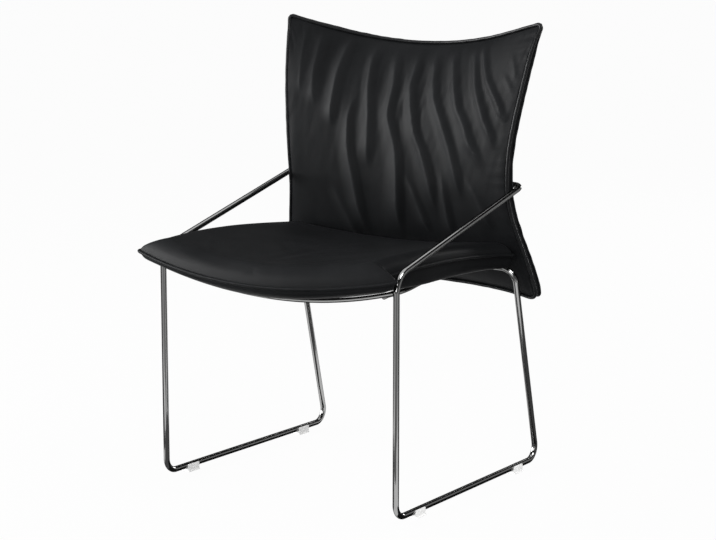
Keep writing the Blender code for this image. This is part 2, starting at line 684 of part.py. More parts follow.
def extruded(outline, width):
    """A flat outline in the YZ plane, given thickness along X about the middle."""
    bm = bmesh.new()
    face = bm.faces.new([bm.verts.new((-width / 2, y, z)) for y, z in outline])
    grown = bmesh.ops.extrude_face_region(bm, geom=[face], use_keep_orig=True)
    lifted = [v for v in grown["geom"] if isinstance(v, bmesh.types.BMVert)]
    bmesh.ops.translate(bm, verts=lifted, vec=(width, 0, 0))
    return bm


def seat_tab_frame(side, y):
    """A frame on the seat's underside, square to the rail beside it: the tab's edge meets the rail."""
    share, step = y / REAR_BAR_Y, 0.02
    rail = rail_axis(side, share)
    along = rail_axis(side, share + step) - rail_axis(side, share - step)
    reach = TAB_SIZE / 2 + SEAT_ROD_RADIUS + CLEARANCE
    leather = surface_frame(seat_bottom, *seat_shares(rail.x - reach * side, y), Vector((0, 0, -1)))
    normal = leather.col[2].to_3d()
    frame = frame_at(leather.translation, along.cross(normal) * side, normal)
    spot = frame.inverted() @ rail
    below = max(spot.z - REST_CLEARANCE - TAB_THICKNESS, 0.0)
    beside = TAB_SIZE / 2 + math.sqrt(max((SEAT_ROD_RADIUS + CLEARANCE) ** 2 - below ** 2, 0.0))
    return frame @ Matrix.Translation((spot.x - math.copysign(beside, spot.x), 0, 0))


def seat_tabs(cover, board, chair, material):
    """Four plates welded inside the seat rails, each with a screw up through the leather into the board."""
    stand = REST_CLEARANCE + TAB_THICKNESS
    length = stand + LEATHER + PLY_CLEARANCE + SEAT_BOARD * SCREW_BITE
    half = TAB_SIZE / 2
    outline = [(-half, REST_CLEARANCE), (half, REST_CLEARANCE), (half, stand), (-half, stand)]
    for end, y in (("front", TAB_FRONT_AT), ("rear", TAB_REAR_AT)):
        for side in (-1, 1):
            name = end + "_" + side_name(side)
            frame = seat_tab_frame(side, y)
            tab = solid(name + "_seat_tab", extruded(outline, TAB_SIZE), chair, material, frame, 30)
            cutter = drill(name + "_seat_hole", frame, stand, length, chair, material)
            for piece in (tab, cover, board):
                cut(piece, [cutter])
            screw(name + "_seat_screw", frame, stand, length, chair, material)


def clamp_outline(gap):
    """A strap over the back bar with an ear above and below; gap is from the leather to the bar's axis."""
    inner = ROD_RADIUS + CLEARANCE
    outer = inner + CLAMP_THICKNESS
    ear, low, high = outer + CLAMP_EAR, CLAMP_LIFT, CLAMP_LIFT + CLAMP_THICKNESS
    turn = [math.pi * i / 8 for i in range(9)]
    outline = [(-ear, low), (-inner, low)]
    outline += [(-inner * math.cos(a), gap + inner * math.sin(a)) for a in turn]
    outline += [(inner, low), (ear, low), (ear, high), (outer, high)]
    outline += [(outer * math.cos(a), gap + outer * math.sin(a)) for a in turn]
    return outline + [(-outer, high), (-ear, high)]


def back_clamps(cover, board, chair, material):
    """Two saddles that hold the back pad to the back bar, with screws into the back board."""
    stand = CLAMP_LIFT + CLAMP_THICKNESS
    length = stand + LEATHER + PLY_CLEARANCE + BACK_BOARD * SCREW_BITE
    reach = ROD_RADIUS + CLEARANCE + CLAMP_THICKNESS + CLAMP_EAR / 2
    for side in (-1, 1):
        s = CLAMP_AT * side / back_half_width(back_share(0, BAR_Z))
        leather = surface_frame(back_rear, s, back_share(s, BAR_Z), Vector((0, 1, 0)))
        x = leather.translation.x
        axis = Vector((x, bar_bow(x), BAR_Z))
        ahead = Vector((x + CLAMP_WIDTH, bar_bow(x + CLAMP_WIDTH), BAR_Z))
        behind = Vector((x - CLAMP_WIDTH, bar_bow(x - CLAMP_WIDTH), BAR_Z))
        frame = frame_at(axis, ahead - behind, leather.col[2].to_3d())
        out = frame.col[2].to_3d()
        gap = (axis - leather.translation).dot(out)
        frame.translation = axis - out * gap
        strap = extruded(clamp_outline(gap), CLAMP_WIDTH)
        clamp = solid(side_name(side) + "_back_clamp", strap, chair, material, frame, 30)
        for end, y in (("upper", -reach), ("lower", reach)):
            name = side_name(side) + "_" + end + "_clamp"
            spot = frame @ Matrix.Translation((0, y, 0))
            cutter = drill(name + "_hole", spot, stand, length, chair, material)
            for piece in (clamp, cover, board):
                cut(piece, [cutter])
            screw(name + "_screw", spot, stand, length, chair, material)


def bracket_outline(bar):
    """A flange flat on the leather and a web to the rear bar, with the bar's axis in the YZ plane."""
    half, low, high = BRACKET_DEPTH / 2, REST_CLEARANCE, REST_CLEARANCE + BRACKET_THICKNESS
    root = Vector((half - BRACKET_THICKNESS / 2, high))
    run = (bar - root).normalized()
    end = bar - run * (ROD_RADIUS + CLEARANCE)
    side = Vector((-run.y, run.x)) * BRACKET_THICKNESS / 2
    flange = [(-half, low), (half, low)]
    return flange + [end - side, end + side, (half - 2 * BRACKET_THICKNESS, high), (-half, high)]


def back_brackets(pieces, chair, material):
    """Two brackets welded behind the rear seat bar, with long screws through the pad into the board."""
    stand = REST_CLEARANCE + BRACKET_THICKNESS
    z = REAR_BAR_Z - BRACKET_DEPTH / 2
    for side in (-1, 1):
        s = BRACKET_AT * side / back_half_width(back_share(0, z))
        t = back_share(s, z)
        leather = surface_frame(back_front, s, t, Vector((0, -1, 0)))
        frame = frame_at(leather.translation, Vector((1, 0, 0)), leather.col[2].to_3d())
        bar = frame.inverted() @ Vector((frame.translation.x, REAR_BAR_Y, REAR_BAR_Z))
        outline = bracket_outline(bar.yz)
        name = side_name(side) + "_back_bracket"
        bracket = solid(name, extruded(outline, BRACKET_WIDTH), chair, material, frame, 30)
        depth = LEATHER + SEAM_GAP / 2 + back_crown(s, t) + BACK_BOX - PLY_CLEARANCE
        depth -= BACK_BOARD * (1 - SCREW_BITE)
        length = stand - depth * frame.col[2].y
        cutter = drill(name + "_hole", frame, stand, length, chair, material)
        for piece in [bracket] + pieces:
            cut(piece, [cutter])
        screw(name + "_screw", frame, stand, length, chair, material)


def main():
    clear_scene()
    material = make_materials()
    chair = bpy.data.objects.new("chair", None)
    bpy.context.scene.collection.objects.link(chair)
    rear_reach = back_seam(0, 1).y + SEAM_GAP / 2 + LEATHER + BACK_BOX
    front_reach = SEAT_OVERHANG + WELT_NEST + WELT_DIAMETER / 2
    chair.location.y = (front_reach - rear_reach) / 2
    for side in (-1, 1):
        side_rod(side, chair, material["rod"])
    cross_bars(chair, material["rod"])
    seat_bars(chair, material["rod"])
    glides(chair, material["glide"])
    seat_cover, seat_board = seat_pad(chair, material)
    front, foam, board, rear = back_pad(chair, material)
    seat_tabs(seat_cover, seat_board, chair, material["steel"])
    back_clamps(rear, board, chair, material["steel"])
    back_brackets([front, foam, board], chair, material["steel"])


main()
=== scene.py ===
import math

import bmesh
import bpy
from mathutils import Matrix, Vector, noise


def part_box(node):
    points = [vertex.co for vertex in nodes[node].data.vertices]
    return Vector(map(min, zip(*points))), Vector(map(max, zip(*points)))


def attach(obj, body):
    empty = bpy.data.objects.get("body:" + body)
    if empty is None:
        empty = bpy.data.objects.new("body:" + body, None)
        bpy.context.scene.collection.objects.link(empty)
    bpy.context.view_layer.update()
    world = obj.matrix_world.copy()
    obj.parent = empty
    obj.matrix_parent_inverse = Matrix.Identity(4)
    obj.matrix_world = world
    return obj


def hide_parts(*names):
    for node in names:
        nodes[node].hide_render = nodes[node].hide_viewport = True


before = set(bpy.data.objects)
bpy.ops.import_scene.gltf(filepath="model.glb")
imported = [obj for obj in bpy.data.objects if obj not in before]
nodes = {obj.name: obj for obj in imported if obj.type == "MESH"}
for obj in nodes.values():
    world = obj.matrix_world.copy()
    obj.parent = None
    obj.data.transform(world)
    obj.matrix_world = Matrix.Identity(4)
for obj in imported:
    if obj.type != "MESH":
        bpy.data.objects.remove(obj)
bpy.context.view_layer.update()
noise.seed_set(7)  # the sewn edges wander the same way every run
print("frame loaded:", len(nodes), "nodes")


# Small tools

def ease(x):
    x = min(max(x, 0.0), 1.0)
    return x * x * (3 - 2 * x)


def roundover(distance, reach):  # quarter ellipse, 0 at the rim and 1 past the reach
    left = 1 - min(max(distance / reach, 0.0), 1.0)
    return math.sqrt(1 - left * left)


def evenly(reach, steps):  # places from one side to the other
    return [reach * (2 * i / steps - 1) for i in range(steps + 1)]


def addObject(name, data):
    thing = bpy.data.objects.new(name, data)
    bpy.context.scene.collection.objects.link(thing)
    return thing


def finishPiece(name, mesh, material, slotName, *cadNodes):
    piece = addObject(name, mesh)
    mesh.materials.clear()
    mesh.materials.append(material)
    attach(piece, "root")
    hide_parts(*cadNodes)
    return piece


def shadeMesh(mesh, sharpDegrees):
    mesh.shade_smooth()
    mesh.set_sharp_from_angle(angle=math.radians(sharpDegrees))


def meshFrom(name, bm, sharpDegrees):
    bmesh.ops.recalc_face_normals(bm, faces=bm.faces)
    if bm.calc_volume(signed=True) < 0:
        bmesh.ops.reverse_faces(bm, faces=bm.faces)
    mesh = bpy.data.meshes.new(name)
    bm.to_mesh(mesh)
    bm.free()
    shadeMesh(mesh, sharpDegrees)
    return mesh


# Tools for finishes

def addNode(tree, kind, **values):
    node = tree.nodes.new(kind)
    for key, value in values.items():
        if key in node.inputs:
            node.inputs[key].default_value = value
        else:
            setattr(node, key, value)
    return node


def addMath(tree, operation, *terms):  # each term is a number or a socket
    node = addNode(tree, "ShaderNodeMath", operation=operation)
    for socket, term in zip(node.inputs, terms):
        if isinstance(term, float):
            socket.default_value = term
        else:
            tree.links.new(term, socket)
    return node.outputs[0]


def addBlend(tree, share, one, two):  # from one tone to the other, each a colour or a socket
    mix = addNode(tree, "ShaderNodeMix", data_type="RGBA")
    tree.links.new(share, mix.inputs["Factor"])
    for label, tone in (("A", one), ("B", two)):
        if isinstance(tone, tuple):
            mix.inputs[label].default_value = tone
        else:
            tree.links.new(tone, mix.inputs[label])
    return mix.outputs["Result"]


def addSpan(tree, value, end, low, high):  # end "From" reads the span low to high, "To" writes it
    span = addNode(tree, "ShaderNodeMapRange")
    span.inputs[end + " Min"].default_value, span.inputs[end + " Max"].default_value = low, high
    tree.links.new(value, span.inputs["Value"])
    return span.outputs["Result"]


def addBump(tree, shader, height, look):
    bump = addNode(tree, "ShaderNodeBump", Strength=look["bump"], Distance=look["depth"])
    tree.links.new(height, bump.inputs["Height"])
    tree.links.new(bump.outputs["Normal"], shader.inputs["Normal"])


def onObject(tree, *patterns):  # patterns sit on the piece's own coordinates
    where = addNode(tree, "ShaderNodeTexCoord")
    for pattern in patterns:
        tree.links.new(where.outputs["Object"], pattern.inputs["Vector"])


def makeGroup(name, inputs):  # each finish group gives a colour, a roughness and a height
    group = bpy.data.node_groups.new(name, "ShaderNodeTree")
    for label, kind, value in inputs:
        group.interface.new_socket(label, in_out="INPUT", socket_type=kind).default_value = value
    given = {"Color": "NodeSocketColor", "Roughness": "NodeSocketFloat", "Height": "NodeSocketFloat"}
    for label, kind in given.items():
        group.interface.new_socket(label, in_out="OUTPUT", socket_type=kind)
    return group, group.nodes.new("NodeGroupInput").outputs, group.nodes.new("NodeGroupOutput").inputs


def placeGroup(tree, group, **values):
    node = tree.nodes.new("ShaderNodeGroup")
    node.node_tree = group
    for label, value in values.items():
        node.inputs[label.replace("_", " ")].default_value = value
    return node.outputs


def makeMaterial(name, **sockets):
    material = bpy.data.materials.new(name)
    material.use_nodes = True
    shader = material.node_tree.nodes["Principled BSDF"]
    for label, value in sockets.items():
        shader.inputs[label.replace("_", " ")].default_value = value
    return material, material.node_tree, shader


# Finishes

skinLook = {"blotches": 11.0, "fineShare": 0.35, "toneFrom": 0.35, "toneTo": 0.68,
            "duller": 0.09, "shinier": -0.07, "fineHeight": 0.5}


def leatherSkinGroup():  # pebbled grain, soft blotches and a broken sheen
    group, into, out = makeGroup("leatherSkin", [
        ("Grain Scale", "NodeSocketFloat", 900.0), ("Dark", "NodeSocketColor", (0.010, 0.0105, 0.011, 1)),
        ("Light", "NodeSocketColor", (0.020, 0.0205, 0.0215, 1)), ("Shine", "NodeSocketFloat", 0.42)])
    link = group.links.new
    pebble = addNode(group, "ShaderNodeTexVoronoi", feature="SMOOTH_F1", Smoothness=0.6, Randomness=0.9)
    fine = addNode(group, "ShaderNodeTexNoise", Detail=5.0, Roughness=0.65)
    wide = addNode(group, "ShaderNodeTexNoise", Scale=skinLook["blotches"], Detail=4.0, Roughness=0.6)
    onObject(group, pebble, fine, wide)
    link(into["Grain Scale"], pebble.inputs["Scale"])
    link(addMath(group, "MULTIPLY", into["Grain Scale"], skinLook["fineShare"]), fine.inputs["Scale"])
    tone = addSpan(group, wide.outputs["Fac"], "From", skinLook["toneFrom"], skinLook["toneTo"])
    link(addBlend(group, tone, into["Dark"], into["Light"]), out["Color"])
    swing = addSpan(group, fine.outputs["Fac"], "To", skinLook["shinier"], skinLook["duller"])
    link(addMath(group, "ADD", into["Shine"], swing), out["Roughness"])
    raised = addMath(group, "MULTIPLY_ADD", fine.outputs["Fac"], skinLook["fineHeight"], pebble.outputs["Distance"])
    link(raised, out["Height"])
    return group


def metalMarksGroup():  # wiping marks, fine scratches and a little dust in the shine
    group, into, out = makeGroup("metalMarks", [
        ("Tone", "NodeSocketColor", (0.5, 0.5, 0.5, 1)), ("Dull", "NodeSocketColor", (0.4, 0.4, 0.4, 1)),
        ("Polish", "NodeSocketFloat", 0.1), ("Spread", "NodeSocketFloat", 0.08)])
    link = group.links.new
    wiped = addNode(group, "ShaderNodeTexNoise", Scale=45.0, Detail=6.0, Roughness=0.7, Distortion=0.6)
    fine = addNode(group, "ShaderNodeTexNoise", Scale=1400.0, Detail=3.0)
    onObject(group, wiped, fine)
    link(addBlend(group, wiped.outputs["Fac"], into["Tone"], into["Dull"]), out["Color"])
    link(addMath(group, "MULTIPLY_ADD", wiped.outputs["Fac"], into["Spread"], into["Polish"]), out["Roughness"])
    link(fine.outputs["Fac"], out["Height"])
    return group


leatherSkin = leatherSkinGroup()
metalMarks = metalMarksGroup()
leatherLook = {"grain": 950.0, "shine": 0.50, "level": 0.085, "bump": 0.25, "depth": 0.0001,
               "pipingGrain": 1140.0, "pipingShine": 0.38, "pipingLevel": 0.22,
               "dark": (0.0078, 0.0083, 0.0091, 1), "light": (0.0112, 0.0118, 0.0128, 1),
               # the last tone paints the gather crests paler, partly as wear and partly as a painted highlight
               "crestWearAndHighlightTone": (0.0185, 0.0193, 0.0208, 1)}
# the bright rods' near-black edge colour paints dark edges on them, a painted reflection of dark surroundings
rodLook = {"tone": (0.45, 0.45, 0.445, 1), "dull": (0.37, 0.37, 0.37, 1), "edge": (0.05, 0.05, 0.05, 1),
           "polish": 0.05, "spread": 0.08, "bump": 0.03, "depth": 0.00002}
zincLook = {"tone": (0.50, 0.50, 0.49, 1), "dull": (0.36, 0.36, 0.37, 1), "edge": (0.8, 0.8, 0.8, 1),
            "polish": 0.28, "spread": 0.22, "bump": 0.25, "depth": 0.0001}
# glow is a painted glow on the glides, standing in for light through the milky plastic
glideLook = {"dim": (0.86, 0.86, 0.85, 1), "pale": (0.93, 0.93, 0.92, 1), "glow": 0.30, "clouds": 140.0,
             "smoothest": 0.25, "roughest": 0.48, "bump": 0.2, "depth": 0.0003}
foamLook = {"dim": (0.62, 0.57, 0.42, 1), "pale": (0.82, 0.78, 0.64, 1), "cells": 700.0,
            "bump": 0.6, "depth": 0.0008}
plywoodLook = {"dim": (0.44, 0.29, 0.16, 1), "pale": (0.68, 0.51, 0.32, 1), "grain": 9.0,
               "stretch": (1.0, 14.0, 14.0), "bump": 0.4, "depth": 0.0005}


def leatherMaterial(name, grain, shine, level, creased):
    material, tree, shader = makeMaterial(name, Specular_IOR_Level=level)
    skin = placeGroup(tree, leatherSkin, Grain_Scale=grain, Shine=shine, Dark=leatherLook["dark"],
                      Light=leatherLook["light"])
    colour = skin["Color"]
    if creased:  # crests painted a little paler than the hollows: partly wear, partly a painted highlight on the gathers
        crestWearAndHighlightMask = addNode(tree, "ShaderNodeAttribute", attribute_name="crestWearAndHighlightMask")
        colour = addBlend(tree, crestWearAndHighlightMask.outputs["Fac"], colour, leatherLook["crestWearAndHighlightTone"])
    tree.links.new(colour, shader.inputs["Base Color"])
    tree.links.new(skin["Roughness"], shader.inputs["Roughness"])
    addBump(tree, shader, skin["Height"], leatherLook)
    return material


def metalMaterial(name, look):
    # the look's edge colour goes to Specular Tint; for the bright rods it paints dark edges as a painted reflection
    material, tree, shader = makeMaterial(name, Metallic=1.0, Specular_Tint=look["edge"])
    marks = placeGroup(tree, metalMarks, Tone=look["tone"], Dull=look["dull"], Polish=look["polish"],
                       Spread=look["spread"])
    tree.links.new(marks["Color"], shader.inputs["Base Color"])
    tree.links.new(marks["Roughness"], shader.inputs["Roughness"])
    addBump(tree, shader, marks["Height"], look)
    return material


def mottle(tree, shader, pattern, look):  # tint and bump that follow one pattern
    tree.links.new(addBlend(tree, pattern, look["dim"], look["pale"]), shader.inputs["Base Color"])
    addBump(tree, shader, pattern, look)


def glideMaterial():  # milky clear plastic, with a painted glow that stands in for light passing through it
    material, tree, shader = makeMaterial("milkyGlide", IOR=1.46, Subsurface_Weight=0.3,
                                          Subsurface_Radius=(0.004, 0.004, 0.004), Emission_Color=(1, 1, 1, 1),
                                          Emission_Strength=glideLook["glow"])
    cloud = addNode(tree, "ShaderNodeTexNoise", Scale=glideLook["clouds"], Detail=4.0)
    onObject(tree, cloud)
    mottle(tree, shader, cloud.outputs["Fac"], glideLook)
    rough = addSpan(tree, cloud.outputs["Fac"], "To", glideLook["smoothest"], glideLook["roughest"])
    tree.links.new(rough, shader.inputs["Roughness"])
    return material


def foamMaterial():
    material, tree, shader = makeMaterial("openFoam", Roughness=0.9)
    cells = addNode(tree, "ShaderNodeTexVoronoi", Scale=foamLook["cells"])
    onObject(tree, cells)
    mottle(tree, shader, cells.outputs["Distance"], foamLook)
    return material


def plywoodMaterial():
    material, tree, shader = makeMaterial("rawPlywood", Roughness=0.62)
    along = addNode(tree, "ShaderNodeMapping", Scale=plywoodLook["stretch"])
    grain = addNode(tree, "ShaderNodeTexNoise", Scale=plywoodLook["grain"], Detail=6.0, Distortion=1.2)
    onObject(tree, along)
    tree.links.new(along.outputs["Vector"], grain.inputs["Vector"])
    mottle(tree, shader, grain.outputs["Fac"], plywoodLook)
    return material


padLeather = leatherMaterial("padLeather", leatherLook["grain"], leatherLook["shine"], leatherLook["level"], True)
pipingLeather = leatherMaterial("pipingLeather", leatherLook["pipingGrain"], leatherLook["pipingShine"],
                                leatherLook["pipingLevel"], False)
darkPiping = leatherMaterial("darkPiping", leatherLook["pipingGrain"], leatherLook["shine"],
                             leatherLook["level"], False)
brightRod = metalMaterial("brightRod", rodLook)
zincSteel = metalMaterial("zincSteel", zincLook)
milkyGlide = glideMaterial()
openFoam = foamMaterial()
rawPlywood = plywoodMaterial()
print("finishes made")


# Sizes of the rods

rods = {"radius": 0.0055, "thin": 0.0040, "sides": 10, "arcSteps": 18, "sharp": 50,
        "front": 0.2565, "rear": 0.2490, "tail": 0.2005, "runner": 0.486, "rearBarY": 0.396, "armRun": 0.4065,
        "runnerZ": 0.0115, "armZ": 0.4315, "barZ": 0.541, "rearBarZ": 0.3875,
        "footBend": 0.025, "armBend": 0.038, "rearBend": 0.028, "hookBend": 0.022,
        "railInset": 0.0285, "railTaper": 0.043, "railTurn": 0.6, "railDip": 0.6, "rest": 0.0015, "gap": 0.0003,
        "barSteps": 48, "frontBarSteps": 72, "railSteps": 60,
        "barFit": 0.7, "weld": 1.35, "weldSteps": 1.5, "weldBite": 0.8}
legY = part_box("left_side_rod")[0].y + rods["radius"]  # everything below is measured from the front legs
toPlace = Matrix.Translation((0, legY, 0))


# Forms of the pads: s runs across and t along or up, each from -1 to 1

seat = {"half": 0.2435, "ear": 0.0440, "earLength": 0.024, "rearEar": 0.012, "rearEarLength": 0.060,
        "earPower": 1.5, "overhang": 0.072, "cornerOverhang": 0.037, "rear": 0.397, "rearBow": 0.013,
        "frontZ": 0.4010, "rearZ": 0.4050, "cornerZ": 0.4315, "hump": 0.0260, "fall": 0.0425,
        "crown": 0.035, "crownRear": 0.017, "crownSideLoss": 0.007, "crownSideGain": 0.0095,
        "drop": 0.0275, "dropRear": 0.0095, "dropSideLoss": 0.003, "dropSideGain": 0.0145, "dropSideFrom": 0.42,
        "topReach": 0.026, "noseReach": 0.026, "sideReach": 0.010, "undercut": 0.070, "undercutSide": 0.030,
        "skin": 0.0024, "cornerRound": 0.012, "columns": 96, "rows": 90, "cluster": 0.72, "boxLoops": 1,
        "bulge": 0.0, "slack": 0.003, "pressure": 0.8, "cap": 0.006, "frames": 12,
        "ripple": 0.0004, "swing": (5.0, 0.0, 4.0, 2.2), "tallest": 0.01}

back = {"half": 0.2435, "topFlare": 0.0275, "footFlare": 0.033, "topZ": 0.832, "topDip": 0.0455,
        "footZ": 0.3315, "footRise": 0.011, "lumbarY": 0.369, "lumbarZ": 0.583,
        "rakeTop": math.radians(16.2), "rakeFoot": math.radians(25.0), "bendTop": 0.125, "bendFoot": 0.180,
        "wrap": 0.040, "wrapTop": 0.069, "wrapFrom": -0.2, "crown": 0.034, "crownSide": 0.8, "crownEnd": 0.6,
        "box": 0.0165, "skin": 0.0024, "topRound": 0.006, "footRound": 0.016,
        "earFrom": 0.50, "earOut": 0.011, "earBack": 0.010, "earPinch": 0.90,
        "columns": 190, "rows": 120, "cluster": 0.45, "boxLoops": 4, "bulge": 0.0028,
        "slack": 0.004, "pressure": 6.0, "cap": 0.006, "frames": 12, "tallest": 0.0090}


def roundedShares(s, t, cut):  # the square with its corners drawn in
    return s * (1 - cut * abs(t) ** (1 / cut)), t * (1 - cut * abs(s) ** (1 / cut))


def flare(distance, length):  # 1 at a corner, running out along the side
    return max(1 - distance / length, 0.0) ** seat["earPower"]


def seatSeam(s, t):
    s, t = roundedShares(s, t, seat["cornerRound"])
    share = (t + 1) / 2
    length = seat["rear"] - seat["rearBow"] + seat["cornerOverhang"]
    half = seat["half"] + seat["ear"] * flare(share * length, seat["earLength"])
    half += seat["rearEar"] * flare((1 - share) * length, seat["rearEarLength"])
    front = -seat["overhang"] + (seat["overhang"] - seat["cornerOverhang"]) * s * s
    rear = seat["rear"] - seat["rearBow"] * s * s
    middle = seat["frontZ"] + (seat["rearZ"] - seat["frontZ"]) * share
    side = seat["cornerZ"] + seat["hump"] * share - seat["fall"] * share ** 2
    return Vector((s * half, front + (rear - front) * share, middle + (side - middle) * s * s))


def seatRims(s, t):  # how far it is to the side, front and rear seams
    length = seat["rear"] + seat["overhang"]
    return (1 - abs(s)) * seat["half"], (t + 1) / 2 * length, (1 - t) / 2 * length


def seatTop(s, t):
    side, front, rear = seatRims(s, t)
    height = seat["crown"] - seat["slack"] + (seat["crownRear"] - seat["crown"]) * ease((t + 1) / 2)
    height += (seat["crownSideGain"] * (1 + t) - seat["crownSideLoss"] * (1 - t)) / 2 * s * s
    height *= roundover(front, seat["noseReach"]) * roundover(rear, seat["topReach"])
    height *= roundover(side, seat["topReach"])
    return seatSeam(s, t) + Vector((0, 0, seat["skin"] + height))


def seatBottom(s, t):
    side, front, rear = seatRims(s, t)
    depth = seat["drop"] + (seat["dropRear"] - seat["drop"]) * (t + 1) / 2
    depth -= seat["dropSideLoss"] * s * s * (1 - t) / 2
    depth += seat["dropSideGain"] * s ** 4 * ease((t + 1) / 2 / seat["dropSideFrom"])
    undercut = seat["undercut"] + (seat["undercutSide"] - seat["undercut"]) * s ** 4
    depth *= roundover(front, undercut) * roundover(rear, seat["sideReach"])
    depth *= roundover(side, seat["sideReach"])
    return seatSeam(s, t) - Vector((0, 0, seat["skin"] + depth))


def seatUnder(x, y):  # the underside at a place
    s, t = x / seat["half"], 0.0
    for _ in range(12):  # each turn closes in on the shares of that place
        here = seatSeam(s, t)
        s = min(max(s + (x - here.x) / seat["half"], -1), 1)
        t = min(max(t + (y - here.y) / (seat["rear"] + seat["overhang"]) * 2, -1), 1)
    return seatBottom(s, t)


def backHeights(s):
    return back["footZ"] + back["footRise"] * (1 - s ** 4), back["topZ"] - back["topDip"] * (1 - s * s)


def backShare(s, z):
    foot, top = backHeights(s)
    return (z - foot) / (top - foot) * 2 - 1


def backHalf(t):  # narrowest between the arms
    waist = backShare(1, rods["barZ"])
    if t > waist:
        wider, share = back["topFlare"], (t - waist) / (1 - waist)
    else:
        wider, share = back["footFlare"], (waist - t) / (waist + 1)
    return back["half"] + wider * math.sin(share * math.pi / 2) ** 2


def backProfile(z):
    rake, bend = back["rakeFoot"], back["bendFoot"]
    if z > back["lumbarZ"]:
        rake, bend = back["rakeTop"], back["bendTop"]
    return back["lumbarY"] + math.tan(rake) * (math.hypot(z - back["lumbarZ"], bend) - bend)


def earShare(s, t):  # 1 at the two upper corners, which are pinched into points
    start = back["earFrom"]
    return (max(abs(s) - start, 0.0) / (1 - start)) ** 4 * (max(t - start, 0.0) / (1 - start)) ** 4


def backSeam(s, t):
    s, t = roundedShares(s, t, back["topRound"] if t > 0 else back["footRound"])
    foot, top = backHeights(s)
    z = foot + (top - foot) * (t + 1) / 2
    wrap = back["wrap"] + (back["wrapTop"] - back["wrap"]) * ease((t - back["wrapFrom"]) / (1 - back["wrapFrom"]))
    ear = earShare(s, t)
    return Vector((s * (backHalf(t) + back["earOut"] * ear),
                   backProfile(z) + wrap * (1 - s * s) + back["earBack"] * ear, z))


def boxDepth(s, t):
    return back["box"] * (1 - back["earPinch"] * earShare(s, t))


def backRear(s, t):
    return backSeam(s, t) + Vector((0, back["skin"] + boxDepth(s, t), 0))


def backFront(s, t):
    crown = (back["crown"] - back["slack"]) * (1 - s * s) ** back["crownSide"] * (1 - t ** 4) ** back["crownEnd"]
    return backSeam(s, t) - Vector((0, back["skin"] + crown, 0))


backCore = {"inset": 0.90, "under": 0.0115, "rear": 0.0035, "columns": 40, "rows": 38, "cluster": 0.5,
            "boxLoops": 1, "bulge": 0.0, "ripple": 0.0005, "swing": (40.0, 0.0, 40.0, 1.0), "tallest": 0.01}


def backCoreFront(s, t):  # the foam stays well behind the gathers
    s, t = s * backCore["inset"], t * backCore["inset"]
    return backFront(s, t) + Vector((0, backCore["under"] - back["slack"], 0))


def backCoreRear(s, t):
    return backSeam(s * backCore["inset"], t * backCore["inset"]) + Vector((0, backCore["rear"], 0))


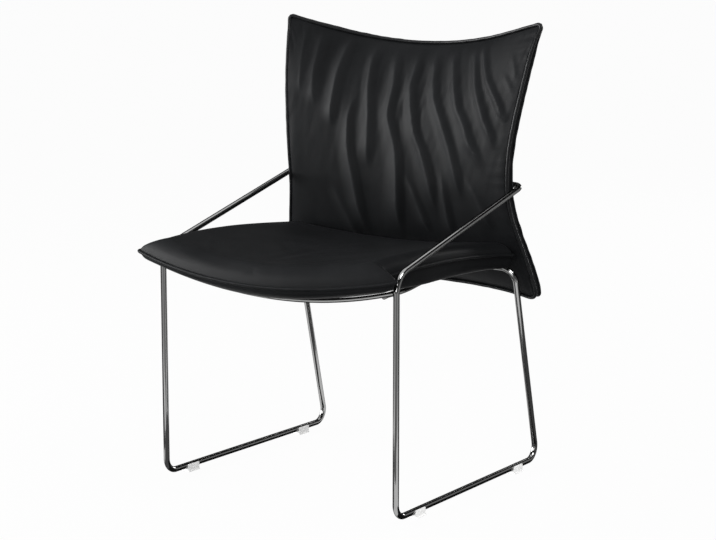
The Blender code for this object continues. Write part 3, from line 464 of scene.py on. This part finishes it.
# Gathers in the back leather: ridge points, height, width of the slope at both ends, width of the fall
folds = [
    {"ridge": [(-0.55, 0.99), (-0.57, 0.82), (-0.59, 0.69), (-0.60, 0.54), (-0.61, 0.41), (-0.62, 0.22)],
     "height": 0.0055, "slope": (0.022, 0.030), "fall": 0.0116},
    {"ridge": [(-0.34, 0.99), (-0.34, 0.80), (-0.33, 0.67), (-0.31, 0.54), (-0.29, 0.39), (-0.28, 0.26),
               (-0.28, 0.13), (-0.29, -0.08)],
     "height": 0.0055, "slope": (0.020, 0.030), "fall": 0.0106},
    {"ridge": [(-0.36, 0.74), (-0.39, 0.59), (-0.43, 0.49), (-0.46, 0.37), (-0.46, 0.24), (-0.45, 0.07),
               (-0.42, -0.09), (-0.39, -0.26), (-0.36, -0.43), (-0.31, -0.66)],
     "height": 0.0065, "slope": (0.027, 0.037), "fall": 0.0095},
    {"ridge": [(-0.19, 0.99), (-0.14, 0.81), (-0.12, 0.65), (-0.12, 0.50), (-0.11, 0.38), (-0.07, 0.28),
               (-0.02, 0.12), (0.00, -0.04), (0.00, -0.21), (-0.01, -0.39), (-0.02, -0.66)],
     "height": 0.0072, "slope": (0.022, 0.048), "fall": 0.0095},
    {"ridge": [(0.00, 0.99), (0.03, 0.79), (0.03, 0.66), (0.06, 0.53), (0.10, 0.40), (0.14, 0.27), (0.21, 0.14),
               (0.27, -0.01), (0.31, -0.16), (0.34, -0.42)],
     "height": 0.0072, "slope": (0.022, 0.040), "fall": 0.0095},
    {"ridge": [(0.15, 0.99), (0.22, 0.68), (0.26, 0.56), (0.33, 0.43), (0.40, 0.30), (0.47, 0.16), (0.52, 0.03),
               (0.56, -0.11), (0.59, -0.30)],
     "height": 0.0069, "slope": (0.019, 0.040), "fall": 0.0095},
    {"ridge": [(0.30, 0.99), (0.37, 0.75), (0.43, 0.59), (0.49, 0.46), (0.58, 0.33), (0.65, 0.19), (0.73, 0.08),
               (0.80, -0.06)],
     "height": 0.0065, "slope": (0.018, 0.035), "fall": 0.0095},
    {"ridge": [(0.48, 0.99), (0.56, 0.74), (0.61, 0.61), (0.68, 0.48), (0.76, 0.34), (0.83, 0.23), (0.90, 0.09)],
     "height": 0.0058, "slope": (0.016, 0.027), "fall": 0.0095},
    {"ridge": [(0.55, 0.99), (0.63, 0.79), (0.69, 0.67), (0.78, 0.55), (0.86, 0.44), (0.94, 0.30)],
     "height": 0.0052, "slope": (0.014, 0.020), "fall": 0.0085},
    {"ridge": [(0.05, -0.02), (0.08, -0.10), (0.14, -0.22), (0.19, -0.36), (0.25, -0.58)],
     "height": 0.0045, "slope": (0.020, 0.030), "fall": 0.0085},
    {"ridge": [(0.39, 0.04), (0.41, -0.08), (0.43, -0.24), (0.44, -0.39), (0.45, -0.60)],
     "height": 0.0041, "slope": (0.018, 0.027), "fall": 0.0095},
    {"ridge": [(0.60, -0.04), (0.64, -0.10), (0.72, -0.23), (0.77, -0.34), (0.82, -0.50)],
     "height": 0.0034, "slope": (0.020, 0.027), "fall": 0.0106},
    {"ridge": [(-0.63, -0.20), (-0.59, -0.29), (-0.49, -0.47), (-0.40, -0.68)],
     "height": 0.0034, "slope": (0.022, 0.030), "fall": 0.0128},
    {"ridge": [(-0.76, 0.99), (-0.77, 0.81), (-0.78, 0.65), (-0.77, 0.36)],
     "height": 0.0034, "slope": (0.024, 0.034), "fall": 0.0150},
    {"ridge": [(-0.88, 0.97), (-0.885, 0.80), (-0.89, 0.62), (-0.89, 0.42)],
     "height": 0.0022, "slope": (0.020, 0.026), "fall": 0.0140},
    {"ridge": [(0.84, 0.86), (0.90, 0.74), (0.95, 0.62)],
     "height": 0.0016, "slope": (0.011, 0.014), "fall": 0.0075},
    {"ridge": [(0.80, 0.72), (0.88, 0.62), (0.95, 0.52)],
     "height": 0.0016, "slope": (0.011, 0.014), "fall": 0.0075},
    {"ridge": [(0.80, 0.44), (0.88, 0.40), (0.96, 0.33)],
     "height": 0.0016, "slope": (0.011, 0.014), "fall": 0.0075},
]
gatherLook = {"rise": 1.7, "run": 1.6, "swell": 0.4, "seamFrom": 0.9, "seamStart": 0.14, "lateStart": 0.45,
              "end": 0.22}
puckerLook = {"height": 0.0008, "reach": 0.022, "sideGain": 1.6, "creep": 0.0006, "wrinkle": 0.0005,
              "wrinkleFrom": -0.5, "wrinkleOver": 0.9,
              "topSwing": (24.0, 0.0, 3.0, 1.7), "sideSwing": (3.0, 6.0, 26.0, 5.1),
              "wrinkleSwing": (21.0, -4.0, 5.0, 3.3), "creepSwing": (9.0, 0.0, 2.2, 0.3)}


def uneven(s, t, swing):  # a soft random wave, by its counts across, aslant and along
    across, aslant, along, layer = swing
    return noise.noise(Vector((s * across + t * aslant, t * along, layer)))


def ridgeAt(ridge, t):  # a smooth line through the ridge points, at this height
    points = [ridge[0]] + ridge + [ridge[-1]]
    for (s0, t0), (s1, t1), (s2, t2), (s3, t3) in zip(points, points[1:], points[2:], points[3:]):
        if t2 <= t <= t1:
            u = (t1 - t) / (t1 - t2)
            before = (s2 - s0) / max(t0 - t2, 1e-6) * (t1 - t2)
            after = (s3 - s1) / max(t1 - t3, 1e-6) * (t1 - t2)
            return ((2 * u ** 3 - 3 * u ** 2 + 1) * s1 + (u ** 3 - 2 * u ** 2 + u) * before
                    + (3 * u ** 2 - 2 * u ** 3) * s2 + (u ** 3 - u ** 2) * after)
    return None


def gathers(s, t):
    half, total = backHalf(t), 0.0
    for fold in folds:
        ridge = fold["ridge"]
        middle = ridgeAt(ridge, t)
        if middle is None:
            continue
        top, foot = ridge[0][1], ridge[-1][1]
        down = (top - t) / (top - foot)
        start = gatherLook["seamStart"] if top > gatherLook["seamFrom"] else gatherLook["lateStart"]
        fade = ease(down / start) * ease((1 - down) / gatherLook["end"])
        away = (s - middle) * half
        slope = fold["slope"][0] + (fold["slope"][1] - fold["slope"][0]) * down
        if away < 0:
            form = max(1 + away / slope, 0.0) ** gatherLook["rise"]
        else:
            form = max(1 - away / (fold["fall"] * gatherLook["run"]), 0.0) ** gatherLook["rise"]
        total += fold["height"] * (1 + gatherLook["swell"] * down) * fade * form
    return total


def puckers(s, t):  # small gathers where the leather is sewn to the piping, and its slow creep elsewhere
    half = (back["topZ"] - back["footZ"]) / 2
    top, right = (1 - t) * half, (1 - s) * back["half"]
    ripple = uneven(s, t, puckerLook["topSwing"]) * math.exp(-top / puckerLook["reach"])
    sideways = uneven(s, t, puckerLook["sideSwing"])
    ripple += sideways * math.exp(-right / puckerLook["reach"]) * puckerLook["sideGain"]
    wrinkle = uneven(s, t, puckerLook["wrinkleSwing"])
    wrinkle *= ease((t - puckerLook["wrinkleFrom"]) / puckerLook["wrinkleOver"])
    creep = uneven(s, t, puckerLook["creepSwing"])
    return puckerLook["height"] * ripple + puckerLook["creep"] * creep + puckerLook["wrinkle"] * wrinkle


# Frame of bent rod

def barBow(x):  # the back bar follows the back pad from hook to hook
    middle = backRear(0, backShare(0, rods["barZ"])).y + rods["radius"] + rods["rest"]
    return middle + (rods["armRun"] - middle) * (x / rods["front"]) ** 2


def bentPath(corners, radii):
    path = [corners[0]]
    for before, corner, after, radius in zip(corners, corners[1:], corners[2:], radii):
        into, out = (corner - before).normalized(), (after - corner).normalized()
        turn = into.angle(out)
        start = corner - into * radius * math.tan(turn / 2)
        axis = into.cross(out).normalized()
        centre = start + axis.cross(into) * radius
        steps = rods["arcSteps"]
        for step in range(steps + 1):
            path.append(centre + Matrix.Rotation(turn * step / steps, 3, axis) @ (start - centre))
    return path + [corners[-1]]


def tubeMesh(name, path, radius, closed=False, swell=None, sides=rods["sides"]):
    curve = bpy.data.curves.new(name, "CURVE")
    curve.dimensions = "3D"
    curve.bevel_depth = radius
    curve.bevel_resolution = sides
    curve.use_fill_caps = not closed
    line = curve.splines.new("POLY")
    line.points.add(len(path) - 1)
    line.use_cyclic_u = closed
    for i, (point, where) in enumerate(zip(line.points, path)):
        point.co = (*where, 1.0)
        point.radius = swell(i) if swell else 1.0
    holder = bpy.data.objects.new(name, curve)
    mesh = bpy.data.meshes.new_from_object(holder)
    mesh.name = name
    bpy.data.objects.remove(holder)
    bpy.data.curves.remove(curve)
    mesh.transform(toPlace)
    shadeMesh(mesh, rods["sharp"])
    return mesh


def rodPiece(name, node, path, radius, swell=None):
    finishPiece(name, tubeMesh(name, path, radius, swell=swell), brightRod, "bright_rod", node)


def sideRod(side, label):
    front, rear, tail = rods["front"] * side, rods["rear"] * side, rods["tail"] * side
    corners = [(tail, rods["rearBarY"], rods["rearBarZ"]), (rear, rods["rearBarY"], rods["rearBarZ"]),
               (rear, rods["runner"], rods["runnerZ"]), (front, 0, rods["runnerZ"]),
               (front, 0, rods["armZ"]), (front, rods["armRun"], rods["barZ"]),
               (tail, barBow(tail), rods["barZ"])]
    bends = [rods["rearBend"], rods["footBend"], rods["footBend"], rods["armBend"], rods["hookBend"]]
    path = bentPath([Vector(corner) for corner in corners], bends)
    rodPiece(label + "SideRod", label + "_side_rod", path, rods["radius"])


def weldedEnds(steps):  # a rod that swells a little into the weld at each end
    return lambda i: 1 + (rods["weld"] - 1) * max(1 - min(i, steps - i) / rods["weldSteps"], 0.0)


def frontBarZ(x):
    aside = seat["half"] * rods["barFit"]
    middle = seatUnder(0, 0).z
    return middle + (seatUnder(aside, 0).z - middle) / aside ** 2 * x * x - rods["thin"] - rods["rest"]


def railPoint(side, share):
    start, end = rods["thin"] + rods["gap"], rods["rearBarY"] - rods["radius"] - rods["gap"]
    y = start + (end - start) * share
    x = rods["front"] - rods["railInset"] - rods["railTaper"] * ease(share / rods["railTurn"])
    z = seatUnder(x - 2 * rods["thin"], y).z - rods["thin"] - rods["rest"]
    dip = ease((share - rods["railDip"]) / (1 - rods["railDip"]))
    return Vector((x * side, y, z + (rods["rearBarZ"] - z) * dip))


def crossBars():
    across = evenly(rods["tail"], rods["barSteps"])
    rodPiece("backBar", "back_bar", [Vector((x, barBow(x), rods["barZ"])) for x in across], rods["radius"])
    straight = [Vector((x, rods["rearBarY"], rods["rearBarZ"])) for x in across]
    rodPiece("rearSeatBar", "rear_seat_bar", straight, rods["radius"])
    steps = rods["frontBarSteps"]
    across = evenly(rods["front"] - rods["radius"] * rods["weldBite"], steps)
    bowed = [Vector((x, 0, frontBarZ(x))) for x in across]
    rodPiece("frontSeatBar", "front_seat_bar", bowed, rods["thin"], weldedEnds(steps))
    steps = rods["railSteps"]
    for side, label in ((-1, "left"), (1, "right")):
        path = [railPoint(side, i / steps) for i in range(steps + 1)]
        rodPiece(label + "SeatRail", label + "_seat_rail", path, rods["thin"], weldedEnds(steps))


sideRod(-1, "left")
sideRod(1, "right")
crossBars()
print("rods bent")


# Floor glides

glide = {"length": 0.030, "wall": 0.0022, "foot": 0.019, "drop": 0.006, "plate": 0.002, "grip": 0.0030,
         "round": 0.0007, "roundOver": 40, "sharp": 30, "arcSteps": 20, "frontAt": 0.068, "rearAt": 0.080}


def glidePiece(name, node, centre, along):
    inner = rods["radius"] + rods["gap"]
    outer, foot, floor = inner + glide["wall"], glide["foot"] / 2, -(rods["radius"] + glide["drop"])
    step = floor + glide["plate"]
    lip = math.asin(glide["grip"] / inner)
    steps = glide["arcSteps"]
    arc = [lip - (math.pi + 2 * lip) * i / steps for i in range(steps + 1)]
    profile = [(inner * math.cos(a), inner * math.sin(a)) for a in arc]
    profile += [(-outer, glide["grip"]), (-outer, step), (-foot, step), (-foot, floor)]
    profile += [(foot, floor), (foot, step), (outer, step), (outer, glide["grip"])]
    bm = bmesh.new()
    face = bm.faces.new([bm.verts.new((x, -glide["length"] / 2, z)) for x, z in profile])
    grown = bmesh.ops.extrude_face_region(bm, geom=[face], use_keep_orig=True)
    ends = [v for v in grown["geom"] if isinstance(v, bmesh.types.BMVert)]
    bmesh.ops.translate(bm, verts=ends, vec=(0, glide["length"], 0))
    bmesh.ops.recalc_face_normals(bm, faces=bm.faces)
    edges = [e for e in bm.edges if e.calc_face_angle(0) > math.radians(glide["roundOver"])]
    bmesh.ops.bevel(bm, geom=edges, offset=glide["round"], affect="EDGES", segments=2, profile=0.5, material=-1)
    turn = Matrix.Rotation(math.atan2(-along.x, along.y), 4, "Z")
    bmesh.ops.transform(bm, verts=bm.verts, matrix=toPlace @ Matrix.Translation(centre) @ turn)
    finishPiece(name, meshFrom(name, bm, glide["sharp"]), milkyGlide, "clear_glide", node)


for side, label in ((-1, "left"), (1, "right")):
    frontFoot = Vector((rods["front"] * side, 0, rods["runnerZ"]))
    rearFoot = Vector((rods["rear"] * side, rods["runner"], rods["runnerZ"]))
    along = (rearFoot - frontFoot).normalized()
    glidePiece(label + "FrontGlide", "front_" + label + "_glide", frontFoot + along * glide["frontAt"], along)
    glidePiece(label + "RearGlide", "rear_" + label + "_glide", rearFoot - along * glide["rearAt"], along)
print("glides clipped on")


# Pads

allSmooth = 180  # no edge of a pad is shaded sharp
rimFrom = 0.9999  # shares past this lie on a seam
cloth = {"quality": 5, "mass": 0.3, "airDamping": 2.0, "tension": 30, "shear": 10, "bending": 2}
piping = {"radius": 0.0030, "nest": 0.0024, "backOffset": 0.0033, "proud": 0.0018,
          "rearRadius": 0.0020, "rearOffset": 0.0023, "sides": 4, "columns": 120, "rows": 110, "cluster": 0.6,
          "wobble": 0.0004, "rearWobble": 0.0009, "wobbleSize": 60.0, "knot": 0.25, "knotReach": 4.0}


def spread(u, cluster):  # grid lines close up towards the rims
    return (1 - cluster) * u + cluster * math.sin(u * math.pi / 2)


def rimSide(share):  # -1 or 1 on that rim, and 0 inside
    return math.copysign(1, share) if abs(share) > rimFrom else 0


def orderMesh(bm):  # operators leave the elements in any order, and the cloth would settle by it
    bm.verts.sort(key=lambda v: round(v.co.z, 3) * 1e6 + v.co.y * 1e3 + v.co.x)
    bm.verts.index_update()
    count = len(bm.verts)
    for elements in (bm.edges, bm.faces):
        elements.sort(key=lambda e: min(v.index for v in e.verts) * count + max(v.index for v in e.verts))
        elements.index_update()


def padShell(upper, lower, pad, liftOf):
    bm = bmesh.new()
    free = bm.verts.layers.float.new("free")  # layers first: a new layer loses track of the extruded points
    lift = bm.verts.layers.float.new("lift")
    bmesh.ops.create_grid(bm, x_segments=pad["columns"], y_segments=pad["rows"], size=1)
    grown = bmesh.ops.extrude_face_region(bm, geom=bm.faces[:], use_keep_orig=True)
    bmesh.ops.translate(bm, verts=[v for v in grown["geom"] if isinstance(v, bmesh.types.BMVert)], vec=(0, 0, 1))
    sides = [e for e in bm.edges if abs(e.verts[0].co.z - e.verts[1].co.z) > 0.5]
    bmesh.ops.subdivide_edges(bm, edges=sides, cuts=pad["boxLoops"])
    orderMesh(bm)
    for vert in bm.verts:
        x, y, deep = (round(value, 6) for value in vert.co)
        s, t = spread(x, pad["cluster"]), spread(y, pad["cluster"])
        out = Vector((rimSide(s), 0, rimSide(t)))
        inside = out.length == 0
        vert[free] = 1.0 if deep < 0.01 and inside else 0.0
        vert[lift] = liftOf(s, t) if vert[free] else 0.0
        vert.co = upper(s, t).lerp(lower(s, t), deep)
        if not inside:  # the border swells a little between its two seams
            vert.co += out.normalized() * pad["bulge"] * math.sin(deep * math.pi)
    bmesh.ops.transform(bm, verts=bm.verts, matrix=toPlace)
    return bm


def settlePad(piece, pad):  # air pressure behind the outer cover, with its seam held and its travel capped
    mesh = piece.data
    pinned = piece.vertex_groups.new(name="pinned")
    pinned.add([i for i, value in enumerate(mesh.attributes["free"].data) if value.value < 0.5], 1.0, "REPLACE")
    start = [v.co.copy() for v in mesh.vertices]
    air = piece.modifiers.new("air", "CLOTH")
    sewn = air.settings
    sewn.quality, sewn.mass, sewn.air_damping = cloth["quality"], cloth["mass"], cloth["airDamping"]
    sewn.tension_stiffness = sewn.compression_stiffness = cloth["tension"]
    sewn.shear_stiffness, sewn.bending_stiffness = cloth["shear"], cloth["bending"]
    sewn.use_pressure, sewn.uniform_pressure_force = True, pad["pressure"]
    sewn.effector_weights.gravity = 0
    sewn.vertex_group_mass = "pinned"
    air.point_cache.frame_start, air.point_cache.frame_end = 1, pad["frames"]
    scene = bpy.context.scene
    for step in range(1, pad["frames"] + 1):
        scene.frame_set(step)
    shaped = piece.evaluated_get(bpy.context.evaluated_depsgraph_get())
    moved = [v.co.copy() for v in shaped.data.vertices]
    piece.modifiers.remove(air)
    piece.vertex_groups.clear()
    scene.frame_set(1)
    furthest = 0.0
    for vert, was, now in zip(mesh.vertices, start, moved):
        step = now - was
        furthest = max(furthest, step.length)
        vert.co = was + step * min(pad["cap"] / max(step.length, 1e-9), 1.0)
    mesh.update()
    print(piece.name, "settled, furthest", round(furthest * 1000, 1), "mm")


def raiseFolds(piece, direction, tallest):  # gathers pushed out of the settled cover, their crests marked for a paler tone that is partly wear and partly a painted highlight
    mesh = piece.data
    crestWearAndHighlightMask = mesh.attributes.new("crestWearAndHighlightMask", "FLOAT", "POINT")
    for vert, lift, mark in zip(mesh.vertices, mesh.attributes["lift"].data, crestWearAndHighlightMask.data):
        vert.co += direction * lift.value
        mark.value = min(max(lift.value / tallest, 0.0), 1.0)
    for name in ("free", "lift"):
        mesh.attributes.remove(mesh.attributes[name])
    mesh.update()


def pipingPath(edge, offset, outward, unevenness):
    columns, rows, cluster = piping["columns"], piping["rows"], piping["cluster"]
    ring = [(spread(2 * i / columns - 1, cluster), 1) for i in range(columns)]
    ring += [(1, spread(1 - 2 * i / rows, cluster)) for i in range(rows)]
    ring += [(spread(1 - 2 * i / columns, cluster), -1) for i in range(columns)]
    ring += [(-1, spread(2 * i / rows - 1, cluster)) for i in range(rows)]
    rim = [edge(s, t) for s, t in ring]
    path = []
    for before, here, after in zip(rim[-1:] + rim[:-1], rim, rim[1:] + rim[:1]):
        path.append(here + (after - before).cross(outward).normalized() * offset)
    return [p + noise.noise_vector(p * piping["wobbleSize"]) * unevenness for p in path]


def knots(i):  # the piping is thicker where it turns the upper corners
    off = min(i, abs(i - piping["columns"]), abs(i - 2 * (piping["columns"] + piping["rows"])))
    return 1 + piping["knot"] * math.exp(-(off / piping["knotReach"]) ** 2)


def pipingPiece(name, node, path, radius, material, swell=None):
    mesh = tubeMesh(name, path, radius, closed=True, swell=swell, sides=piping["sides"])
    finishPiece(name, mesh, material, "black_leather", node)


def rippled(pad):  # a cover without gathers is still a little uneven
    return lambda s, t: pad["ripple"] * uneven(s, t, pad["swing"])


def seatPad():
    bm = padShell(seatTop, seatBottom, seat, rippled(seat))
    piece = finishPiece("seatPad", meshFrom("seatPad", bm, allSmooth), padLeather, "black_leather",
                        "seat_top_cover", "seat_bottom_cover")
    settlePad(piece, seat)
    raiseFolds(piece, Vector((0, 0, 1)), seat["tallest"])
    smooth = piece.modifiers.new("smooth", "SUBSURF")
    smooth.levels = smooth.render_levels = 1
    path = pipingPath(seatSeam, piping["nest"], Vector((0, 0, -1)), piping["wobble"])
    pipingPiece("seatPiping", "seat_welt", path, piping["radius"], darkPiping)


def backPad():
    bm = padShell(backFront, backRear, back, lambda s, t: gathers(s, t) + puckers(s, t))
    piece = finishPiece("backPad", meshFrom("backPad", bm, allSmooth), padLeather, "black_leather",
                        "back_front_cover", "back_rear_cover")
    settlePad(piece, back)
    behind = Vector((0, 1, 0))
    raiseFolds(piece, -behind, back["tallest"])
    bm = padShell(backCoreFront, backCoreRear, backCore, rippled(backCore))
    core = finishPiece("backFoam", meshFrom("backFoam", bm, allSmooth), openFoam, "foam", "back_foam")
    raiseFolds(core, -behind, backCore["tallest"])
    path = pipingPath(lambda s, t: backSeam(s, t) - behind * piping["proud"], piping["backOffset"], behind,
                      piping["wobble"])
    pipingPiece("backPiping", "back_front_welt", path, piping["radius"], pipingLeather, knots)
    depth = back["skin"] - piping["rearRadius"]
    path = pipingPath(lambda s, t: backSeam(s, t) + behind * (depth + boxDepth(s, t)), piping["rearOffset"], behind,
                      piping["rearWobble"])
    pipingPiece("backRearPiping", "back_rear_welt", path, piping["rearRadius"], pipingLeather, knots)


seatPad()
print("seat pad made")
backPad()
print("back pad made")


# Pieces carried over from the frame

carried = {"seat_foam": openFoam, "seat_board": rawPlywood, "back_board": rawPlywood}
for name, node in nodes.items():
    finish = zincSteel if name.endswith(("_tab", "_screw", "_clamp", "_bracket")) else carried.get(name)
    if finish:
        node.data.materials.clear()
        node.data.materials.append(finish)
print("carried pieces finished")


# Stage, light and camera

stage = {"floor": 60.0, "floorTone": 0.55, "glow": 0.97, "ambient": 0.14, "white": 0.985, "wallStep": 6.0}
walls = [
    {"name": "greyWall", "radius": 5.0, "from": 0.006, "to": 2.2, "start": 80.0, "turn": 300.0, "tone": 0.11},
    {"name": "paleWall", "radius": 5.0, "from": 0.006, "to": 2.2, "start": 20.0, "turn": 60.0, "tone": 0.28},
    {"name": "darkWall", "radius": 5.0, "from": 2.2, "to": 7.0, "start": 0.0, "turn": 360.0, "tone": 0.012},
    {"name": "lightWall", "radius": 4.8, "from": 2.2, "to": 3.9, "start": 95.0, "turn": 50.0, "tone": 0.18},
    {"name": "whiteWall", "radius": 4.8, "from": 0.006, "to": 4.0, "start": 205.0, "turn": 45.0, "tone": 0.60},
]
cards = [
    {"name": "frontCard", "lift": 0.003, "tone": 0.45, "turn": 35.3,
     "shape": [(-4, -4.6), (4, -4.6), (4, -0.6), (-4, -0.6)]},
    {"name": "coreCard", "lift": 0.0032, "tone": 0.20, "turn": 35.3,
     "shape": [(-0.21, -4.6), (1.85, -4.6), (0.25, -0.4), (-0.21, -0.25)]},
    {"name": "underCard", "lift": 0.0035, "tone": 0.12, "turn": 0.0,
     "shape": [(-0.30, -0.30), (0.10, -0.30), (0.22, -0.06), (0.22, 0.36), (-0.30, 0.36)]},
    {"name": "rightWedge", "lift": 0.004, "tone": 0.09, "turn": 35.3,
     "shape": [(0.27, -0.12), (3.2, -1.2), (3.2, 2.2), (0.27, 0.25)]},
    {"name": "leftWedge", "lift": 0.004, "tone": 0.09, "turn": 35.3,
     "shape": [(-0.42, 0.45), (-3.2, 2.2), (-3.2, -1.2), (-0.36, 0.0)]},
    {"name": "leftStrip", "lift": 0.0045, "tone": 0.015, "turn": 0.0,
     "shape": [(-0.255, 0), (-0.165, 0), (-0.165, 0.49), (-0.255, 0.49)]},
    {"name": "rightStrip", "lift": 0.0045, "tone": 0.015, "turn": 0.0,
     "shape": [(0.255, 0), (0.345, 0), (0.345, 0.49), (0.255, 0.49)]},
]
lampAim = Vector((0, 0, 0.45))
lamps = [
    {"name": "key", "at": (-2.85, -1.40, 1.15), "size": 1.9, "power": 142.0},
    {"name": "front", "at": (1.1, -2.8, 1.3), "size": 1.6, "power": 27.0},
    {"name": "side", "at": (2.1, -0.4, 2.9), "size": 1.2, "power": 42.0},
    {"name": "rear", "at": (0.5, 4.0, 1.2), "size": 0.8, "power": 50.0},
]
view = {"lens": 100.83, "sensor": 36.0, "azimuth": 35.3164, "elevation": 10.0693, "eye": (2.1109, -2.7289, 1.0299)}


def seenDirectly(tree):  # camera, mirror and clear paths show the plain white studio
    path = addNode(tree, "ShaderNodeLightPath").outputs
    mirrored = addMath(tree, "MAXIMUM", path["Is Camera Ray"], path["Is Glossy Ray"])
    return addMath(tree, "MAXIMUM", mirrored, path["Is Transmission Ray"])


def stagePiece(name, bm):
    mesh = bpy.data.meshes.new(name)
    bm.to_mesh(mesh)
    bm.free()
    piece = addObject(name, mesh)
    material = bpy.data.materials.new(name)
    material.use_nodes = True
    mesh.materials.append(material)
    tree = material.node_tree
    tree.nodes.clear()
    return piece, tree, addNode(tree, "ShaderNodeOutputMaterial").inputs["Surface"]


def buildFloor():
    bm = bmesh.new()
    bmesh.ops.create_grid(bm, x_segments=1, y_segments=1, size=stage["floor"])
    floor, tree, surface = stagePiece("studioFloor", bm)
    tone = stage["floorTone"]
    matt = addNode(tree, "ShaderNodeBsdfDiffuse", Color=(tone, tone, tone, 1))
    glow = addNode(tree, "ShaderNodeEmission", Strength=1.0)
    mix = addNode(tree, "ShaderNodeMixShader")
    tree.links.new(addMath(tree, "MULTIPLY", seenDirectly(tree), stage["glow"]), mix.inputs[0])
    tree.links.new(matt.outputs[0], mix.inputs[1])
    tree.links.new(glow.outputs[0], mix.inputs[2])
    tree.links.new(mix.outputs[0], surface)


def screenPiece(name, bm, tone):  # seen in reflections only
    screen, tree, surface = stagePiece(name, bm)
    screen.visible_camera = screen.visible_diffuse = screen.visible_shadow = screen.visible_transmission = False
    glow = addNode(tree, "ShaderNodeEmission", Color=(tone, tone, tone, 1), Strength=1.0)
    tree.links.new(glow.outputs[0], surface)


def buildScreens():  # studio walls and floor cards that draw the edges of the rods
    for wall in walls:
        bm = bmesh.new()
        start = math.radians(wall["start"])
        foot = bm.verts.new((wall["radius"] * math.cos(start), wall["radius"] * math.sin(start), wall["from"]))
        head = bm.verts.new((foot.co.x, foot.co.y, wall["to"]))
        edge = bm.edges.new((foot, head))
        bmesh.ops.spin(bm, geom=[foot, head, edge], axis=(0, 0, 1), cent=(0, 0, 0),
                       angle=math.radians(wall["turn"]), steps=int(wall["turn"] / stage["wallStep"]))
        screenPiece(wall["name"], bm, wall["tone"])
    for card in cards:
        bm = bmesh.new()
        bm.faces.new([bm.verts.new((x, y, card["lift"])) for x, y in card["shape"]])
        turn = Matrix.Rotation(math.radians(card["turn"]), 3, "Z")
        bmesh.ops.rotate(bm, verts=bm.verts, cent=(0, 0, 0), matrix=turn)
        bmesh.ops.translate(bm, verts=bm.verts, vec=(0, legY, 0))
        screenPiece(card["name"], bm, card["tone"])


def buildSky():
    world = bpy.data.worlds.new("studio")
    bpy.context.scene.world = world
    world.use_nodes = True
    tree = world.node_tree
    light = tree.nodes["Background"]
    light.inputs["Color"].default_value = (1, 1, 1, 1)
    strength = addSpan(tree, seenDirectly(tree), "To", stage["ambient"], stage["white"])
    tree.links.new(strength, light.inputs["Strength"])


def buildLamps():
    for lamp in lamps:
        data = bpy.data.lights.new(lamp["name"], "AREA")
        data.shape, data.size, data.energy = "SQUARE", lamp["size"], lamp["power"]
        stand = addObject(lamp["name"], data)
        stand.location = lamp["at"]
        stand.rotation_euler = (lampAim - stand.location).to_track_quat("-Z", "Y").to_euler()


def buildCamera():
    a, e = math.radians(view["azimuth"]), math.radians(view["elevation"])
    towards = Vector((math.sin(a) * math.cos(e), -math.cos(a) * math.cos(e), math.sin(e)))
    data = bpy.data.cameras.new("camera")
    data.lens, data.sensor_width, data.sensor_fit = view["lens"], view["sensor"], "HORIZONTAL"
    camera = addObject("camera", data)
    camera.location = Vector(view["eye"]) + Vector((0, legY, 0))
    camera.rotation_euler = towards.to_track_quat("Z", "Y").to_euler()
    bpy.context.scene.camera = camera


buildFloor()
buildScreens()
buildSky()
buildLamps()
buildCamera()
bpy.context.scene.view_settings.view_transform = "Standard"
print("stage set")
